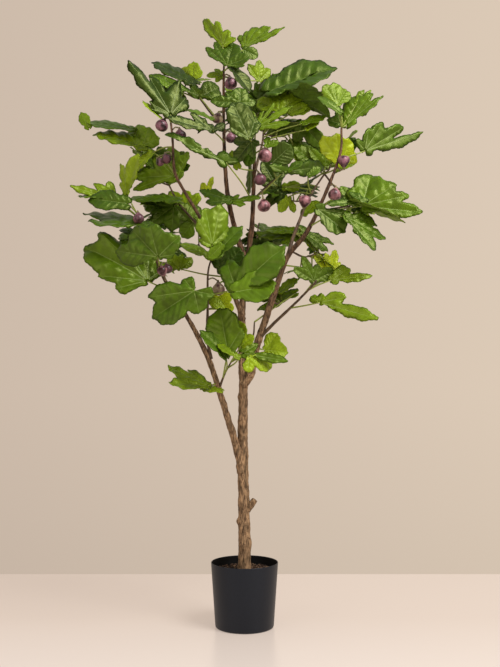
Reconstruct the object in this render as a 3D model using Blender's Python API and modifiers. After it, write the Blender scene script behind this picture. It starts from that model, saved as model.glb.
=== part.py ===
"""A made fig tree in its pot, 1.8 m tall: a plain tapered pot with its plug and chip topping, a trunk that
forks low, tapering boughs, and the masses of foliage that they carry.
Metres, +Z up, origin at the centre of the pot's flat underside. The front of the tree faces -Y."""

import itertools
import math
import random

import bmesh
import bpy
from mathutils import Vector

# Between two pieces that touch
GAP = 0.0003

# The pot, a plain tapered one with a rounded foot edge
POT_HEIGHT = 0.190
POT_RIM_RADIUS = 0.0988
POT_FOOT_RADIUS = 0.0865
POT_FOOT_ROUND = 0.005
POT_WALL = 0.0025
POT_FLOOR = 0.003
POT_SIDES = 28

# What fills the pot: a set plug, and a layer of chips on it that ends below the rim
PLUG_TOP = 0.150
CHIPS_TOP = 0.165
CHIPS_CROWN = 0.004

# The trunk stands in a round socket in the plug
TRUNK_FOOT_RADIUS = 0.0180
TRUNK_FLARE = 0.0022
TRUNK_FLARE_HEIGHT = 0.045
TRUNK_FOOT_Z = 0.120
TRUNK_TOP_Z = 0.553
TRUNK_TOP_RADIUS = 0.0148
TRUNK_LEAN = -0.006
SOCKET_RADIUS = TRUNK_FOOT_RADIUS + TRUNK_FLARE + 0.001

# A sawn-off side branch low on the trunk
STUB_FOOT = (0.004, -0.002, 0.338)
STUB_TIP = (0.030, -0.006, 0.374)
STUB_RADIUS = 0.0090
STUB_SIDES = 8

# Limbs: points about this far apart, the upright end of a limb that is cut flat across, and the radius
# under which a limb is a twig
ROUTE_STEP = 0.060
FLAT_CUT_LENGTH = 0.012
THICKEST_TWIG = 0.006

# Foliage: the grid of each mass, and how uneven its surface is
MASS_SEGMENTS = 11
MASS_RINGS = 8
LOBES = 7
LOBE_SHARE = 0.22
LOBE_SHARPNESS = 9
TIP_WIDTH = 0.36
LEAST_RADIUS = 0.008
LEAST_SHARE = 0.010

# A mass meets its limb with a small flat disc round the pole of its grid
SEAT_RADIUS = 0.006
SEAT_ANGLE = 1.5 * math.pi / MASS_RINGS
CLOSEST_STEPS = 60

# Each bough: what it leaves, the points it passes from foot to tip, its radius at foot and tip,
# and the sides of its section
BOUGHS = {
    "middle_stem": dict(
        leaves=(),
        route=((TRUNK_LEAN, 0, TRUNK_TOP_Z + GAP), (-0.004, 0, 0.70), (-0.008, 0, 0.92), (0.001, 0, 1.05),
               (0.018, -0.015, 1.19), (0.028, -0.040, 1.335), (0.030, -0.060, 1.42)),
        radii=(0.0146, 0.0040),
        sides=12,
    ),
    "left_bough": dict(
        leaves=("trunk", "middle_stem"),
        route=((-0.007, -0.003, 0.455), (-0.024, -0.020, 0.530), (-0.048, -0.036, 0.625), (-0.099, -0.060, 0.793),
               (-0.169, -0.080, 0.925), (-0.223, -0.100, 1.012), (-0.269, -0.090, 1.118), (-0.300, -0.070, 1.190)),
        radii=(0.0120, 0.0028),
        sides=10,
    ),
    "left_inner_bough": dict(
        leaves=("left_bough",),
        route=((-0.097, -0.060, 0.788), (-0.106, -0.074, 0.850), (-0.105, -0.082, 0.930), (-0.104, -0.090, 1.030),
               (-0.094, -0.090, 1.075)),
        radii=(0.0045, 0.0024),
        sides=8,
    ),
    "low_twig": dict(
        leaves=("left_bough",),
        route=((-0.072, -0.047, 0.707), (-0.056, -0.078, 0.745), (-0.038, -0.110, 0.778)),
        radii=(0.0032, 0.0020),
        sides=8,
    ),
    "upper_left_bough": dict(
        leaves=("middle_stem",),
        route=((-0.005, -0.003, 0.905), (-0.030, -0.050, 0.973), (-0.084, -0.090, 1.112), (-0.130, -0.100, 1.196),
               (-0.177, -0.110, 1.274), (-0.198, -0.110, 1.321), (-0.203, -0.110, 1.407), (-0.208, -0.110, 1.455)),
        radii=(0.0072, 0.0030),
        sides=8,
    ),
    "top_bough": dict(
        leaves=("middle_stem",),
        route=((0.003, -0.001, 1.075), (-0.019, -0.010, 1.152), (-0.040, -0.020, 1.238), (-0.054, -0.030, 1.312),
               (-0.060, -0.030, 1.441), (-0.061, -0.030, 1.572), (-0.060, -0.030, 1.642)),
        radii=(0.0082, 0.0028),
        sides=8,
    ),
    "high_left_twig": dict(
        leaves=("top_bough",),
        route=((-0.060, -0.030, 1.461), (-0.096, 0.010, 1.509), (-0.134, 0.040, 1.566)),
        radii=(0.0030, 0.0020),
        sides=8,
    ),
    "right_bough": dict(
        leaves=("middle_stem",),
        route=((-0.004, -0.002, 0.712), (0.016, -0.012, 0.746), (0.039, -0.030, 0.837), (0.062, -0.040, 0.904),
               (0.105, -0.060, 1.035), (0.128, -0.060, 1.088), (0.180, -0.070, 1.153), (0.232, -0.080, 1.261),
               (0.274, -0.080, 1.375), (0.278, -0.080, 1.449)),
        radii=(0.0118, 0.0028),
        sides=10,
    ),
    "right_inner_bough": dict(
        leaves=("right_bough",),
        route=((0.126, -0.060, 1.084), (0.140, -0.040, 1.137), (0.160, -0.030, 1.190), (0.189, 0.000, 1.262),
               (0.240, 0.060, 1.345)),
        radii=(0.0056, 0.0026),
        sides=8,
    ),
    "lower_right_bough": dict(
        leaves=("right_bough",),
        route=((0.044, -0.033, 0.850), (0.088, -0.055, 0.893), (0.131, -0.080, 0.933), (0.190, -0.120, 0.991),
               (0.203, -0.130, 1.008)),
        radii=(0.0052, 0.0025),
        sides=8,
    ),
    "front_twig": dict(
        leaves=("middle_stem",),
        route=((-0.004, -0.002, 0.806), (0.024, -0.030, 0.852), (0.029, -0.040, 0.895)),
        radii=(0.0032, 0.0020),
        sides=8,
    ),
    "right_twig": dict(
        leaves=("right_bough",),
        route=((0.206, -0.075, 1.206), (0.258, -0.090, 1.217), (0.300, -0.108, 1.220)),
        radii=(0.0028, 0.0020),
        sides=8,
    ),
    "centre_right_twig": dict(
        leaves=("middle_stem",),
        route=((0.022, -0.022, 1.250), (0.063, -0.032, 1.290), (0.092, -0.045, 1.312)),
        radii=(0.0028, 0.0020),
        sides=8,
    ),
    "low_back_bough": dict(
        leaves=("middle_stem",),
        route=((-0.008, 0.002, 0.890), (-0.006, 0.080, 0.965), (0.010, 0.170, 1.060), (0.030, 0.255, 1.150)),
        radii=(0.0066, 0.0028),
        sides=8,
    ),
    "left_back_bough": dict(
        leaves=("upper_left_bough",),
        route=((-0.086, -0.090, 1.114), (-0.142, 0.030, 1.190), (-0.200, 0.110, 1.262), (-0.236, 0.160, 1.330)),
        radii=(0.0046, 0.0026),
        sides=8,
    ),
    "high_back_bough": dict(
        leaves=("middle_stem",),
        route=((0.026, -0.034, 1.310), (0.040, 0.045, 1.385), (0.055, 0.125, 1.460), (0.060, 0.195, 1.545)),
        radii=(0.0042, 0.0026),
        sides=8,
    ),
}

# Each mass of foliage: the limb that carries it, its centre, its reach to either side, to the front, to the
# back and up or down, and its furthest leaf tips
MASSES = {
    "top_left": dict(
        on="top_bough",
        centre=(-0.070, -0.025, 1.702),
        reach=(0.060, 0.08, 0.08, 0.062),
        tips=((-0.133, -0.030, 1.800), (-0.026, -0.035, 1.742)),
    ),
    "top_right": dict(
        on="top_bough",
        centre=(0.030, 0.020, 1.704),
        reach=(0.058, 0.08, 0.09, 0.054),
        tips=((0.122, 0.030, 1.772),),
    ),
    "high_front": dict(
        on="top_bough",
        centre=(-0.030, -0.085, 1.578),
        reach=(0.070, 0.08, 0.06, 0.045),
        tips=(),
    ),
    "upper_left": dict(
        on="upper_left_bough",
        centre=(-0.228, -0.120, 1.532),
        reach=(0.080, 0.10, 0.09, 0.070),
        tips=((-0.334, -0.115, 1.631),),
    ),
    "high_left": dict(
        on="high_left_twig",
        centre=(-0.170, 0.070, 1.618),
        reach=(0.096, 0.09, 0.11, 0.048),
        tips=((-0.285, 0.060, 1.668), (-0.080, 0.070, 1.630)),
    ),
    "inner_left_high": dict(
        on="upper_left_bough",
        centre=(-0.125, -0.155, 1.410),
        reach=(0.092, 0.10, 0.08, 0.056),
        tips=((-0.222, -0.165, 1.425), (-0.035, -0.160, 1.358)),
    ),
    "far_left_high": dict(
        on="upper_left_bough",
        centre=(-0.345, -0.020, 1.440),
        reach=(0.104, 0.10, 0.11, 0.038),
        tips=((-0.485, -0.010, 1.488),),
    ),
    "left_centre": dict(
        on="upper_left_bough",
        centre=(-0.285, -0.060, 1.318),
        reach=(0.080, 0.08, 0.10, 0.054),
        tips=(),
    ),
    "far_left": dict(
        on="left_bough",
        centre=(-0.388, -0.075, 1.234),
        reach=(0.100, 0.11, 0.11, 0.052),
        tips=((-0.515, -0.070, 1.283), (-0.468, -0.090, 1.200)),
    ),
    "left_lower": dict(
        on="left_bough",
        centre=(-0.350, -0.085, 1.058),
        reach=(0.104, 0.11, 0.11, 0.080),
        tips=((-0.458, -0.090, 1.112), (-0.405, -0.090, 0.990)),
    ),
    "left_front": dict(
        on="left_bough",
        centre=(-0.240, -0.205, 1.110),
        reach=(0.094, 0.09, 0.08, 0.044),
        tips=(),
    ),
    "left_low_front": dict(
        on="left_bough",
        centre=(-0.176, -0.170, 0.955),
        reach=(0.094, 0.10, 0.08, 0.060),
        tips=(),
    ),
    "low_left": dict(
        on="left_bough",
        centre=(-0.148, -0.080, 0.728),
        reach=(0.064, 0.07, 0.08, 0.030),
        tips=((-0.220, -0.075, 0.761),),
    ),
    "inner_left": dict(
        on="left_inner_bough",
        centre=(-0.076, -0.170, 1.165),
        reach=(0.074, 0.10, 0.08, 0.100),
        tips=(),
    ),
    "front_high": dict(
        on="middle_stem",
        centre=(0.000, -0.170, 1.402),
        reach=(0.060, 0.10, 0.08, 0.092),
        tips=(),
    ),
    "front_middle": dict(
        on="upper_left_bough",
        centre=(0.024, -0.180, 1.032),
        reach=(0.088, 0.12, 0.08, 0.094),
        tips=(),
    ),
    "low_front": dict(
        on="low_twig",
        centre=(-0.050, -0.165, 0.884),
        reach=(0.076, 0.12, 0.08, 0.086),
        tips=(),
    ),
    "low_right": dict(
        on="right_bough",
        centre=(0.066, -0.110, 0.800),
        reach=(0.064, 0.10, 0.09, 0.050),
        tips=((0.127, -0.110, 0.777),),
    ),
    "high_right": dict(
        on="high_back_bough",
        centre=(0.145, 0.125, 1.622),
        reach=(0.118, 0.12, 0.11, 0.066),
        tips=((0.286, 0.120, 1.683),),
    ),
    "front_star": dict(
        on="middle_stem",
        centre=(0.086, -0.105, 1.486),
        reach=(0.060, 0.09, 0.08, 0.044),
        tips=(),
    ),
    "upper_right_back": dict(
        on="high_back_bough",
        centre=(0.165, 0.130, 1.492),
        reach=(0.096, 0.10, 0.12, 0.052),
        tips=(),
    ),
    "right_top": dict(
        on="right_bough",
        centre=(0.298, -0.085, 1.514),
        reach=(0.086, 0.10, 0.11, 0.058),
        tips=((0.388, -0.080, 1.540),),
    ),
    "far_right_high": dict(
        on="right_bough",
        centre=(0.410, -0.040, 1.422),
        reach=(0.100, 0.10, 0.11, 0.036),
        tips=((0.538, -0.030, 1.436),),
    ),
    "right_upper": dict(
        on="right_inner_bough",
        centre=(0.262, 0.110, 1.410),
        reach=(0.072, 0.08, 0.12, 0.054),
        tips=(),
    ),
    "inner_right_high": dict(
        on="centre_right_twig",
        centre=(0.143, -0.075, 1.350),
        reach=(0.096, 0.10, 0.09, 0.056),
        tips=(),
    ),
    "inner_right": dict(
        on="right_inner_bough",
        centre=(0.140, 0.080, 1.272),
        reach=(0.086, 0.09, 0.12, 0.050),
        tips=(),
    ),
    "right_middle": dict(
        on="right_twig",
        centre=(0.395, -0.125, 1.248),
        reach=(0.090, 0.11, 0.11, 0.056),
        tips=((0.504, -0.130, 1.204), (0.453, -0.125, 1.176)),
    ),
    "right_low_middle": dict(
        on="right_bough",
        centre=(0.296, -0.160, 1.148),
        reach=(0.092, 0.09, 0.08, 0.044),
        tips=((0.390, -0.160, 1.110),),
    ),
    "right_back_low": dict(
        on="right_bough",
        centre=(0.220, 0.040, 1.110),
        reach=(0.066, 0.08, 0.12, 0.056),
        tips=(),
    ),
    "right_lower": dict(
        on="lower_right_bough",
        centre=(0.255, -0.115, 1.030),
        reach=(0.092, 0.10, 0.11, 0.036),
        tips=((0.358, -0.110, 1.015),),
    ),
    "far_right_low": dict(
        on="lower_right_bough",
        centre=(0.262, -0.145, 0.930),
        reach=(0.086, 0.09, 0.09, 0.034),
        tips=((0.374, -0.145, 0.887),),
    ),
    "low_centre": dict(
        on="right_bough",
        centre=(0.112, 0.030, 0.965),
        reach=(0.064, 0.08, 0.11, 0.050),
        tips=(),
    ),
    "centre_back": dict(
        on="low_back_bough",
        centre=(0.100, 0.230, 1.150),
        reach=(0.100, 0.10, 0.10, 0.054),
        tips=(),
    ),
    "low_back": dict(
        on="low_back_bough",
        centre=(-0.030, 0.330, 1.100),
        reach=(0.110, 0.10, 0.10, 0.056),
        tips=((-0.050, 0.430, 1.080),),
    ),
    "middle_back": dict(
        on="low_back_bough",
        centre=(0.040, 0.330, 1.262),
        reach=(0.110, 0.11, 0.10, 0.058),
        tips=((0.070, 0.450, 1.285),),
    ),
    "left_far_back": dict(
        on="left_back_bough",
        centre=(-0.290, 0.215, 1.390),
        reach=(0.096, 0.10, 0.10, 0.054),
        tips=((-0.345, 0.310, 1.400),),
    ),
    "left_back": dict(
        on="left_back_bough",
        centre=(-0.235, 0.170, 1.255),
        reach=(0.088, 0.11, 0.11, 0.054),
        tips=(),
    ),
    "left_low_back": dict(
        on="left_bough",
        centre=(-0.290, 0.110, 1.110),
        reach=(0.090, 0.10, 0.11, 0.052),
        tips=((-0.310, 0.215, 1.095),),
    ),
    "right_far_back": dict(
        on="right_inner_bough",
        centre=(0.340, 0.185, 1.305),
        reach=(0.096, 0.10, 0.11, 0.054),
        tips=((0.400, 0.285, 1.300),),
    ),
    "high_back": dict(
        on="high_back_bough",
        centre=(0.035, 0.270, 1.600),
        reach=(0.106, 0.10, 0.09, 0.060),
        tips=((0.020, 0.375, 1.620),),
    ),
}


def clear_scene():
    for obj in list(bpy.data.objects):
        bpy.data.objects.remove(obj, do_unlink=True)


def new_collection(name, hidden=False):
    group = bpy.data.collections.new(name)
    bpy.context.scene.collection.children.link(group)
    group.hide_render = hidden
    return group


def material(name, colour, roughness):
    mat = bpy.data.materials.new(name)
    mat.use_nodes = True
    shader = mat.node_tree.nodes["Principled BSDF"]
    shader.inputs["Base Color"].default_value = (*colour, 1)
    shader.inputs["Roughness"].default_value = roughness
    shader.inputs["Metallic"].default_value = 0
    mat.diffuse_color = (*colour, 1)
    return mat


def add_mesh(name, mesh, group, mat=None):
    obj = bpy.data.objects.new(name, mesh)
    group.objects.link(obj)
    if mat:
        mesh.materials.append(mat)
    return obj


def turned(name, profile, group, mat):
    """A round piece: the profile (radius, height) runs from the axis round its inside, down its outside and
    back to the axis."""
    mesh = bpy.data.meshes.new(name)
    points = [(radius, 0, height) for radius, height in profile]
    mesh.from_pydata(points, [(i, i + 1) for i in range(len(points) - 1)], [])
    obj = add_mesh(name, mesh, group, mat)
    screw = obj.modifiers.new("Turn", "SCREW")
    screw.axis = "Z"
    screw.angle = math.tau
    screw.steps = POT_SIDES
    screw.render_steps = POT_SIDES
    screw.use_merge_vertices = True
    screw.merge_threshold = 0.0001
    screw.use_smooth_shade = True
    return obj


def pot_radius(height):
    """Outer radius of the pot's straight side at this height."""
    return POT_FOOT_RADIUS + (POT_RIM_RADIUS - POT_FOOT_RADIUS) * height / POT_HEIGHT


def inner_radius(height):
    return pot_radius(height) - POT_WALL


def make_pot(group):
    lip = POT_WALL / 4
    foot_arc = [
        (
            pot_radius(POT_FOOT_ROUND) - POT_FOOT_ROUND * (1 - math.cos(math.radians(angle))),
            POT_FOOT_ROUND * (1 - math.sin(math.radians(angle))),
        )
        for angle in (0, 45, 90)
    ]
    profile = [
        (0, POT_FLOOR),
        (inner_radius(POT_FLOOR), POT_FLOOR),
        (inner_radius(POT_HEIGHT), POT_HEIGHT - lip),
        (inner_radius(POT_HEIGHT) + lip, POT_HEIGHT),
        (POT_RIM_RADIUS - lip, POT_HEIGHT),
        (POT_RIM_RADIUS, POT_HEIGHT - lip),
        *foot_arc,
        (0, 0),
    ]
    return turned("pot", profile, group, material("pot_plastic", (0.022, 0.021, 0.023), 0.42))


def make_plug(group):
    bottom = POT_FLOOR + GAP
    profile = [
        (0, TRUNK_FOOT_Z - GAP),
        (SOCKET_RADIUS, TRUNK_FOOT_Z - GAP),
        (SOCKET_RADIUS, PLUG_TOP),
        (inner_radius(PLUG_TOP) - GAP, PLUG_TOP),
        (inner_radius(bottom) - GAP, bottom),
        (0, bottom),
    ]
    return turned("plug", profile, group, material("plug_cement", (0.30, 0.29, 0.27), 0.9))


def make_chips(group):
    """A ring of chips round the trunk's foot, a little higher in the middle than at the wall."""
    bottom = PLUG_TOP + GAP
    middle = (SOCKET_RADIUS + inner_radius(CHIPS_TOP)) / 2
    profile = [
        (SOCKET_RADIUS, bottom),
        (SOCKET_RADIUS, CHIPS_TOP + CHIPS_CROWN),
        (middle, CHIPS_TOP + CHIPS_CROWN / 2),
        (inner_radius(CHIPS_TOP) - GAP, CHIPS_TOP),
        (inner_radius(bottom) - GAP, bottom),
        (SOCKET_RADIUS, bottom),
    ]
    return turned("chip_topping", profile, group, material("bark_chips", (0.12, 0.07, 0.04), 0.9))


def smooth_route(knots):
    """Points about ROUTE_STEP apart on a Catmull-Rom curve through the knots."""
    knots = [Vector(knot) for knot in knots]
    ends = [2 * knots[0] - knots[1], *knots, 2 * knots[-1] - knots[-2]]
    route = []
    for before, start, end, after in zip(ends, ends[1:], ends[2:], ends[3:]):
        count = max(1, round((end - start).length / ROUTE_STEP))
        for step in range(count):
            t = step / count
            bend = (2 * before - 5 * start + 4 * end - after) * t**2
            turn = (3 * start - before - 3 * end + after) * t**3
            route.append((2 * start + (end - before) * t + bend + turn) / 2)
    route.append(knots[-1])
    return route


def lengths_along(route):
    """Share of the route's whole length at each of its points."""
    total = [0.0]
    for start, end in zip(route, route[1:]):
        total.append(total[-1] + (end - start).length)
    return [length / total[-1] for length in total]


def tube(name, route, radii, sides, group, mat=None):
    """A closed tube along the route, made as a bevelled curve and turned into a mesh."""
    curve = bpy.data.curves.new(name, "CURVE")
    curve.dimensions = "3D"
    curve.bevel_depth = 1
    curve.bevel_resolution = sides // 2 - 2
    curve.use_fill_caps = True
    spline = curve.splines.new("POLY")
    spline.points.add(len(route) - 1)
    for point, place, radius in zip(spline.points, route, radii):
        point.co = (*place, 1)
        point.radius = radius
    guide = bpy.data.objects.new(name + "_curve", curve)
    group.objects.link(guide)
    graph = bpy.context.evaluated_depsgraph_get()
    mesh = bpy.data.meshes.new_from_object(guide.evaluated_get(graph))
    shape = bmesh.new()
    shape.from_mesh(mesh)
    bmesh.ops.remove_doubles(shape, verts=shape.verts, dist=0.00001)
    bmesh.ops.recalc_face_normals(shape, faces=shape.faces)
    shape.to_mesh(mesh)
    shape.free()
    mesh.shade_smooth()
    obj = add_mesh(name, mesh, group, mat)
    obj.matrix_world = guide.matrix_world
    bpy.data.objects.remove(guide)
    mesh.name = name
    return obj


def boolean(obj, operation, other):
    cut = obj.modifiers.new(other.name, "BOOLEAN")
    cut.operation = operation
    cut.object = other
    return cut


def keep_main_body(obj):
    """Turns the object's modifiers into mesh, and drops the slivers that a shallow cut can leave."""
    graph = bpy.context.evaluated_depsgraph_get()
    mesh = bpy.data.meshes.new_from_object(obj.evaluated_get(graph))
    shape = bmesh.new()
    shape.from_mesh(mesh)
    left = set(shape.verts)
    bodies = []
    while left:
        body = set()
        edge = {left.pop()}
        while edge:
            body |= edge
            edge = {e.other_vert(v) for v in edge for e in v.link_edges} - body
        left -= body
        bodies.append(body)
    largest = max(bodies, key=len)
    slivers = [vert for body in bodies if body is not largest for vert in body]
    bmesh.ops.delete(shape, geom=slivers, context="VERTS")
    shape.to_mesh(mesh)
    shape.free()
    obj.modifiers.clear()
    obj.data = mesh
    mesh.name = obj.name


def trunk_route():
    """The trunk leans a little to the left, and is upright at both of its flat cuts."""
    foot = Vector((0, 0, TRUNK_FOOT_Z))
    top = Vector((TRUNK_LEAN, 0, TRUNK_TOP_Z))
    up = Vector((0, 0, FLAT_CUT_LENGTH))
    return [foot, *smooth_route((foot + up, (0, 0, 0.19), (0, 0, 0.27), (-0.003, 0, 0.40), top - up)), top]


def trunk_radii(route):
    """A true taper, with the root flare above the foot."""
    radii = []
    for place, share in zip(route, lengths_along(route)):
        above = max(0.0, place.z - CHIPS_TOP)
        taper = TRUNK_FOOT_RADIUS + (TRUNK_TOP_RADIUS - TRUNK_FOOT_RADIUS) * share
        radii.append(taper + TRUNK_FLARE * math.exp(-above / TRUNK_FLARE_HEIGHT))
    return radii


class Limb:
    """A limb's route, its radius at each point of the route, and the ring of vertices there."""

    def __init__(self, name, route, radii, sides):
        self.name = name
        self.route = route
        self.radii = radii
        self.sides = sides
        self.rings = []

    def read_rings(self, obj):
        """Deals the plain tube's vertices out to the nearest point of the route."""
        self.rings = [[] for _ in self.route]
        for vert in obj.data.vertices:
            nearest = min(range(len(self.route)), key=lambda i: (self.route[i] - vert.co).length)
            self.rings[nearest].append(vert.co.copy())

    def stretches(self):
        """Each straight stretch: its axis from end to end, and the vertices of the rings at its ends."""
        for i in range(len(self.route) - 1):
            yield (self.route[i], self.route[i + 1]), self.rings[i] + self.rings[i + 1]


def plan_limbs():
    """Every limb by name, the trunk first."""
    route = trunk_route()
    limbs = {"trunk": Limb("trunk", route, trunk_radii(route), 12)}
    for name, bough in BOUGHS.items():
        route = smooth_route(bough["route"])
        if not bough["leaves"]:
            route.insert(1, route[0] + Vector((0, 0, FLAT_CUT_LENGTH)))
        foot, tip = bough["radii"]
        radii = [foot + (tip - foot) * share for share in lengths_along(route)]
        limbs[name] = Limb(name, route, radii, bough["sides"])
    return limbs


def helper_tube(name, route, radii, sides, cutters):
    tool = tube(name, route, radii, sides, cutters)
    tool.hide_render = True
    tool.display_type = "WIRE"
    return tool


def make_limbs(limbs, group, cutters):
    """The trunk with its stub, and each bough cut to sit against what it leaves."""
    bark = material("bark", (0.17, 0.11, 0.065), 0.75)
    twig = material("twig_bark", (0.075, 0.05, 0.028), 0.6)
    for name, limb in limbs.items():
        thick = max(limb.radii) > THICKEST_TWIG
        obj = tube(name, limb.route, limb.radii, limb.sides, group, bark if thick else twig)
        limb.read_rings(obj)
        for parent in BOUGHS[name]["leaves"] if name in BOUGHS else ():
            carrier = limbs[parent]
            grown = [radius + GAP for radius in carrier.radii]
            seat = helper_tube(f"seat_of_{name}_on_{parent}", carrier.route, grown, carrier.sides, cutters)
            boolean(obj, "DIFFERENCE", seat)
        if name == "trunk":
            ends = [Vector(STUB_FOOT), Vector(STUB_TIP)]
            boolean(obj, "UNION", helper_tube("stub", ends, [STUB_RADIUS] * 2, STUB_SIDES, cutters))
        keep_main_body(obj)


def nearest_on(segment, place):
    start, end = segment
    along = end - start
    return start + along * min(1, max(0, (place - start).dot(along) / along.length_squared))


def way_between(first, second):
    """Direction from one segment to another, where the two come closest."""
    here = first[0]
    for _ in range(CLOSEST_STEPS):
        there = nearest_on(second, here)
        here = nearest_on(first, there)
    return (there - here).normalized()


def plane_off_limb(centre, way, ring_verts):
    """How far a mass round this centre may reach this way before it meets these rings of a limb."""
    return min((vert - centre).dot(way) for vert in ring_verts) - GAP


def plan_seat(mass, limb):
    """Where a mass's stalk meets the limb that carries it: the direction from the mass's centre, and how far."""
    centre = Vector(mass["centre"])
    seats = []
    for axis, verts in limb.stretches():
        way = (nearest_on(axis, centre) - centre).normalized()
        seats.append((plane_off_limb(centre, way, verts), way))
    distance, way = min(seats, key=lambda seat: seat[0])
    return way, distance


def plain_reach(mass, way):
    """How far a mass reaches this way, from its reach to either side, front, back and up or down."""
    side, front, back, height = mass["reach"]
    depth = front if way.y < 0 else back
    return 1 / math.sqrt((way.x / side) ** 2 + (way.y / depth) ** 2 + (way.z / height) ** 2)


def likely_ways(first, second):
    """Directions across which two masses may part: where their stalks come closest, from centre to centre,
    and square to the line that halves the angle between their stalks."""
    centres = (second[0] - first[0]).normalized()
    halving = (second[0] - second[1]).normalized() - (first[0] - first[1]).normalized()
    return way_between(first, second), centres, halving.normalized(), (centres + halving).normalized()


def border_across(way, names, stalks):
    """The plane square to this way that parts two masses, shared by how far they reach towards each other:
    its distance from each one's centre."""
    first, second = names
    my_end = max(place.dot(way) for place in stalks[first])
    their_end = min(place.dot(way) for place in stalks[second])
    my_centre = stalks[first][0].dot(way)
    their_centre = stalks[second][0].dot(way)
    mine = max(LEAST_SHARE, plain_reach(MASSES[first], way) - (my_end - my_centre))
    theirs = max(LEAST_SHARE, plain_reach(MASSES[second], -way) - (their_centre - their_end))
    border = my_end + (their_end - my_end) * mine / (mine + theirs)
    parted = their_end - my_end > 2 * GAP
    return (border - my_centre - GAP, their_centre - border - GAP) if parted else (0, 0)


def part_masses(stalks):
    """The planes that part the masses: one between each two, where it leaves both of them the most room."""
    planes = {name: [] for name in stalks}
    for names in itertools.combinations(stalks, 2):
        ways = likely_ways(stalks[names[0]], stalks[names[1]])
        way = max(ways, key=lambda way: min(border_across(way, names, stalks)))
        mine, theirs = border_across(way, names, stalks)
        planes[names[0]].append((way, mine))
        planes[names[1]].append((-way, theirs))
    return planes


def lobe_ways(name):
    """Seeded directions in which a mass swells."""
    draw = random.Random(name)
    return [
        Vector((draw.uniform(-1, 1), draw.uniform(-1, 1), draw.uniform(-0.6, 0.6))).normalized()
        for _ in range(LOBES)
    ]


def near(way, other, width):
    """1 where two directions agree, falling off over this angle in radians."""
    return math.exp(-((way.angle(other) / width) ** 2))


def foliage_reach(mass, way, lobes, tips):
    """How far the uneven surface of a mass lies this way from its centre."""
    swell = min(1, sum(max(0, way.dot(lobe)) ** LOBE_SHARPNESS for lobe in lobes))
    reach = plain_reach(mass, way) * (1 - LOBE_SHARE / 2 + LOBE_SHARE * swell)
    return max([reach, *(tip.length * near(way, tip, TIP_WIDTH) for tip in tips)])


def make_mass(name, seat, planes, group, mat):
    """One closed, uneven mass of foliage: a sphere's grid with its pole at the stalk, each vertex drawn out or
    in along its own direction, so that the mass stays on its side of every plane."""
    mass = MASSES[name]
    centre = Vector(mass["centre"])
    stalk, stalk_length = seat
    tips = [Vector(tip) - centre for tip in mass["tips"]]
    lobes = lobe_ways(name)

    shape = bmesh.new()
    bmesh.ops.create_uvsphere(shape, u_segments=MASS_SEGMENTS, v_segments=MASS_RINGS, radius=1)
    turn = Vector((0, 0, 1)).rotation_difference(stalk).to_matrix()
    bmesh.ops.rotate(shape, verts=shape.verts, matrix=turn)
    free = [vert for vert in shape.verts if vert.co.angle(stalk) > SEAT_ANGLE]
    tip_verts = {min(free, key=lambda vert: vert.co.angle(tip)): tip for tip in tips}
    for vert in shape.verts:
        way = vert.co.normalized()
        place = tip_verts.get(vert) or way * foliage_reach(mass, way, lobes, tips)
        if way.angle(stalk) < SEAT_ANGLE and place.dot(stalk) < stalk_length:
            aside = way - stalk * way.dot(stalk)
            place = stalk * stalk_length + aside.normalized() * SEAT_RADIUS * (aside.length > GAP)
        share = min([1, *(away / place.dot(normal) for normal, away in planes if place.dot(normal) > away)])
        if place.length * share < LEAST_RADIUS:
            raise ValueError(f"{name} has no room")
        vert.co = centre + place * share
    mesh = bpy.data.meshes.new("foliage_" + name)
    bmesh.ops.recalc_face_normals(shape, faces=shape.faces)
    bmesh.ops.triangulate(shape, faces=shape.faces)
    shape.to_mesh(mesh)
    shape.free()
    mesh.shade_smooth()
    return add_mesh("foliage_" + name, mesh, group, mat)


def make_foliage(limbs, group):
    leaf = material("leaf_fabric", (0.055, 0.16, 0.025), 0.5)
    seats = {name: plan_seat(mass, limbs[mass["on"]]) for name, mass in MASSES.items()}
    stalks = {}
    for name, (way, distance) in seats.items():
        centre = Vector(MASSES[name]["centre"])
        stalks[name] = (centre, centre + way * distance)
    planes = part_masses(stalks)
    for name, stalk in stalks.items():
        for limb in limbs.values():
            for axis, verts in limb.stretches():
                way = way_between(stalk, axis)
                planes[name].append((way, plane_off_limb(stalk[0], way, verts)))
        make_mass(name, seats[name], planes[name], group, leaf)


def main():
    clear_scene()
    tree = new_collection("potted_fig_tree")
    cutters = new_collection("cutters", hidden=True)
    make_pot(tree)
    make_plug(tree)
    make_chips(tree)
    limbs = plan_limbs()
    make_limbs(limbs, tree, cutters)
    make_foliage(limbs, tree)


main()
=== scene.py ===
"""Looks of a made fig tree in its pot: bark with relief, leaf stalks, lobed leaves, figs, a turned black pot
and loose chips. Metres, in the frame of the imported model. The front of the tree faces -Y."""

import math
import random

import bpy
import numpy as np
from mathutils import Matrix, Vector, noise
from mathutils.geometry import delaunay_2d_cdt


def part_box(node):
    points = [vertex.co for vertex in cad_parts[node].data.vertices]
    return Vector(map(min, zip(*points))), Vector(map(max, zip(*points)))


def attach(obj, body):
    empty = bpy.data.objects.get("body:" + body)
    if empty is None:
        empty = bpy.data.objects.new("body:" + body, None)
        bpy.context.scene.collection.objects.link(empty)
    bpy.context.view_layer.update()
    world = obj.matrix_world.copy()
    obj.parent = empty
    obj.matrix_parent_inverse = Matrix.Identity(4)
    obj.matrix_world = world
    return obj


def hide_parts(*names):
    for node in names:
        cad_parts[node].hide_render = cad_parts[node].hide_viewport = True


# The photograph, and the level camera that fits it
PHOTO_WIDTH = 500
PHOTO_HEIGHT = 667
FOCAL_PIXELS = 950
HORIZON_ROW = 365
CAMERA_X = 0.016
CAMERA_DISTANCE = 2.80
CAMERA_HEIGHT = 0.77
SENSOR = 36

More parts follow.
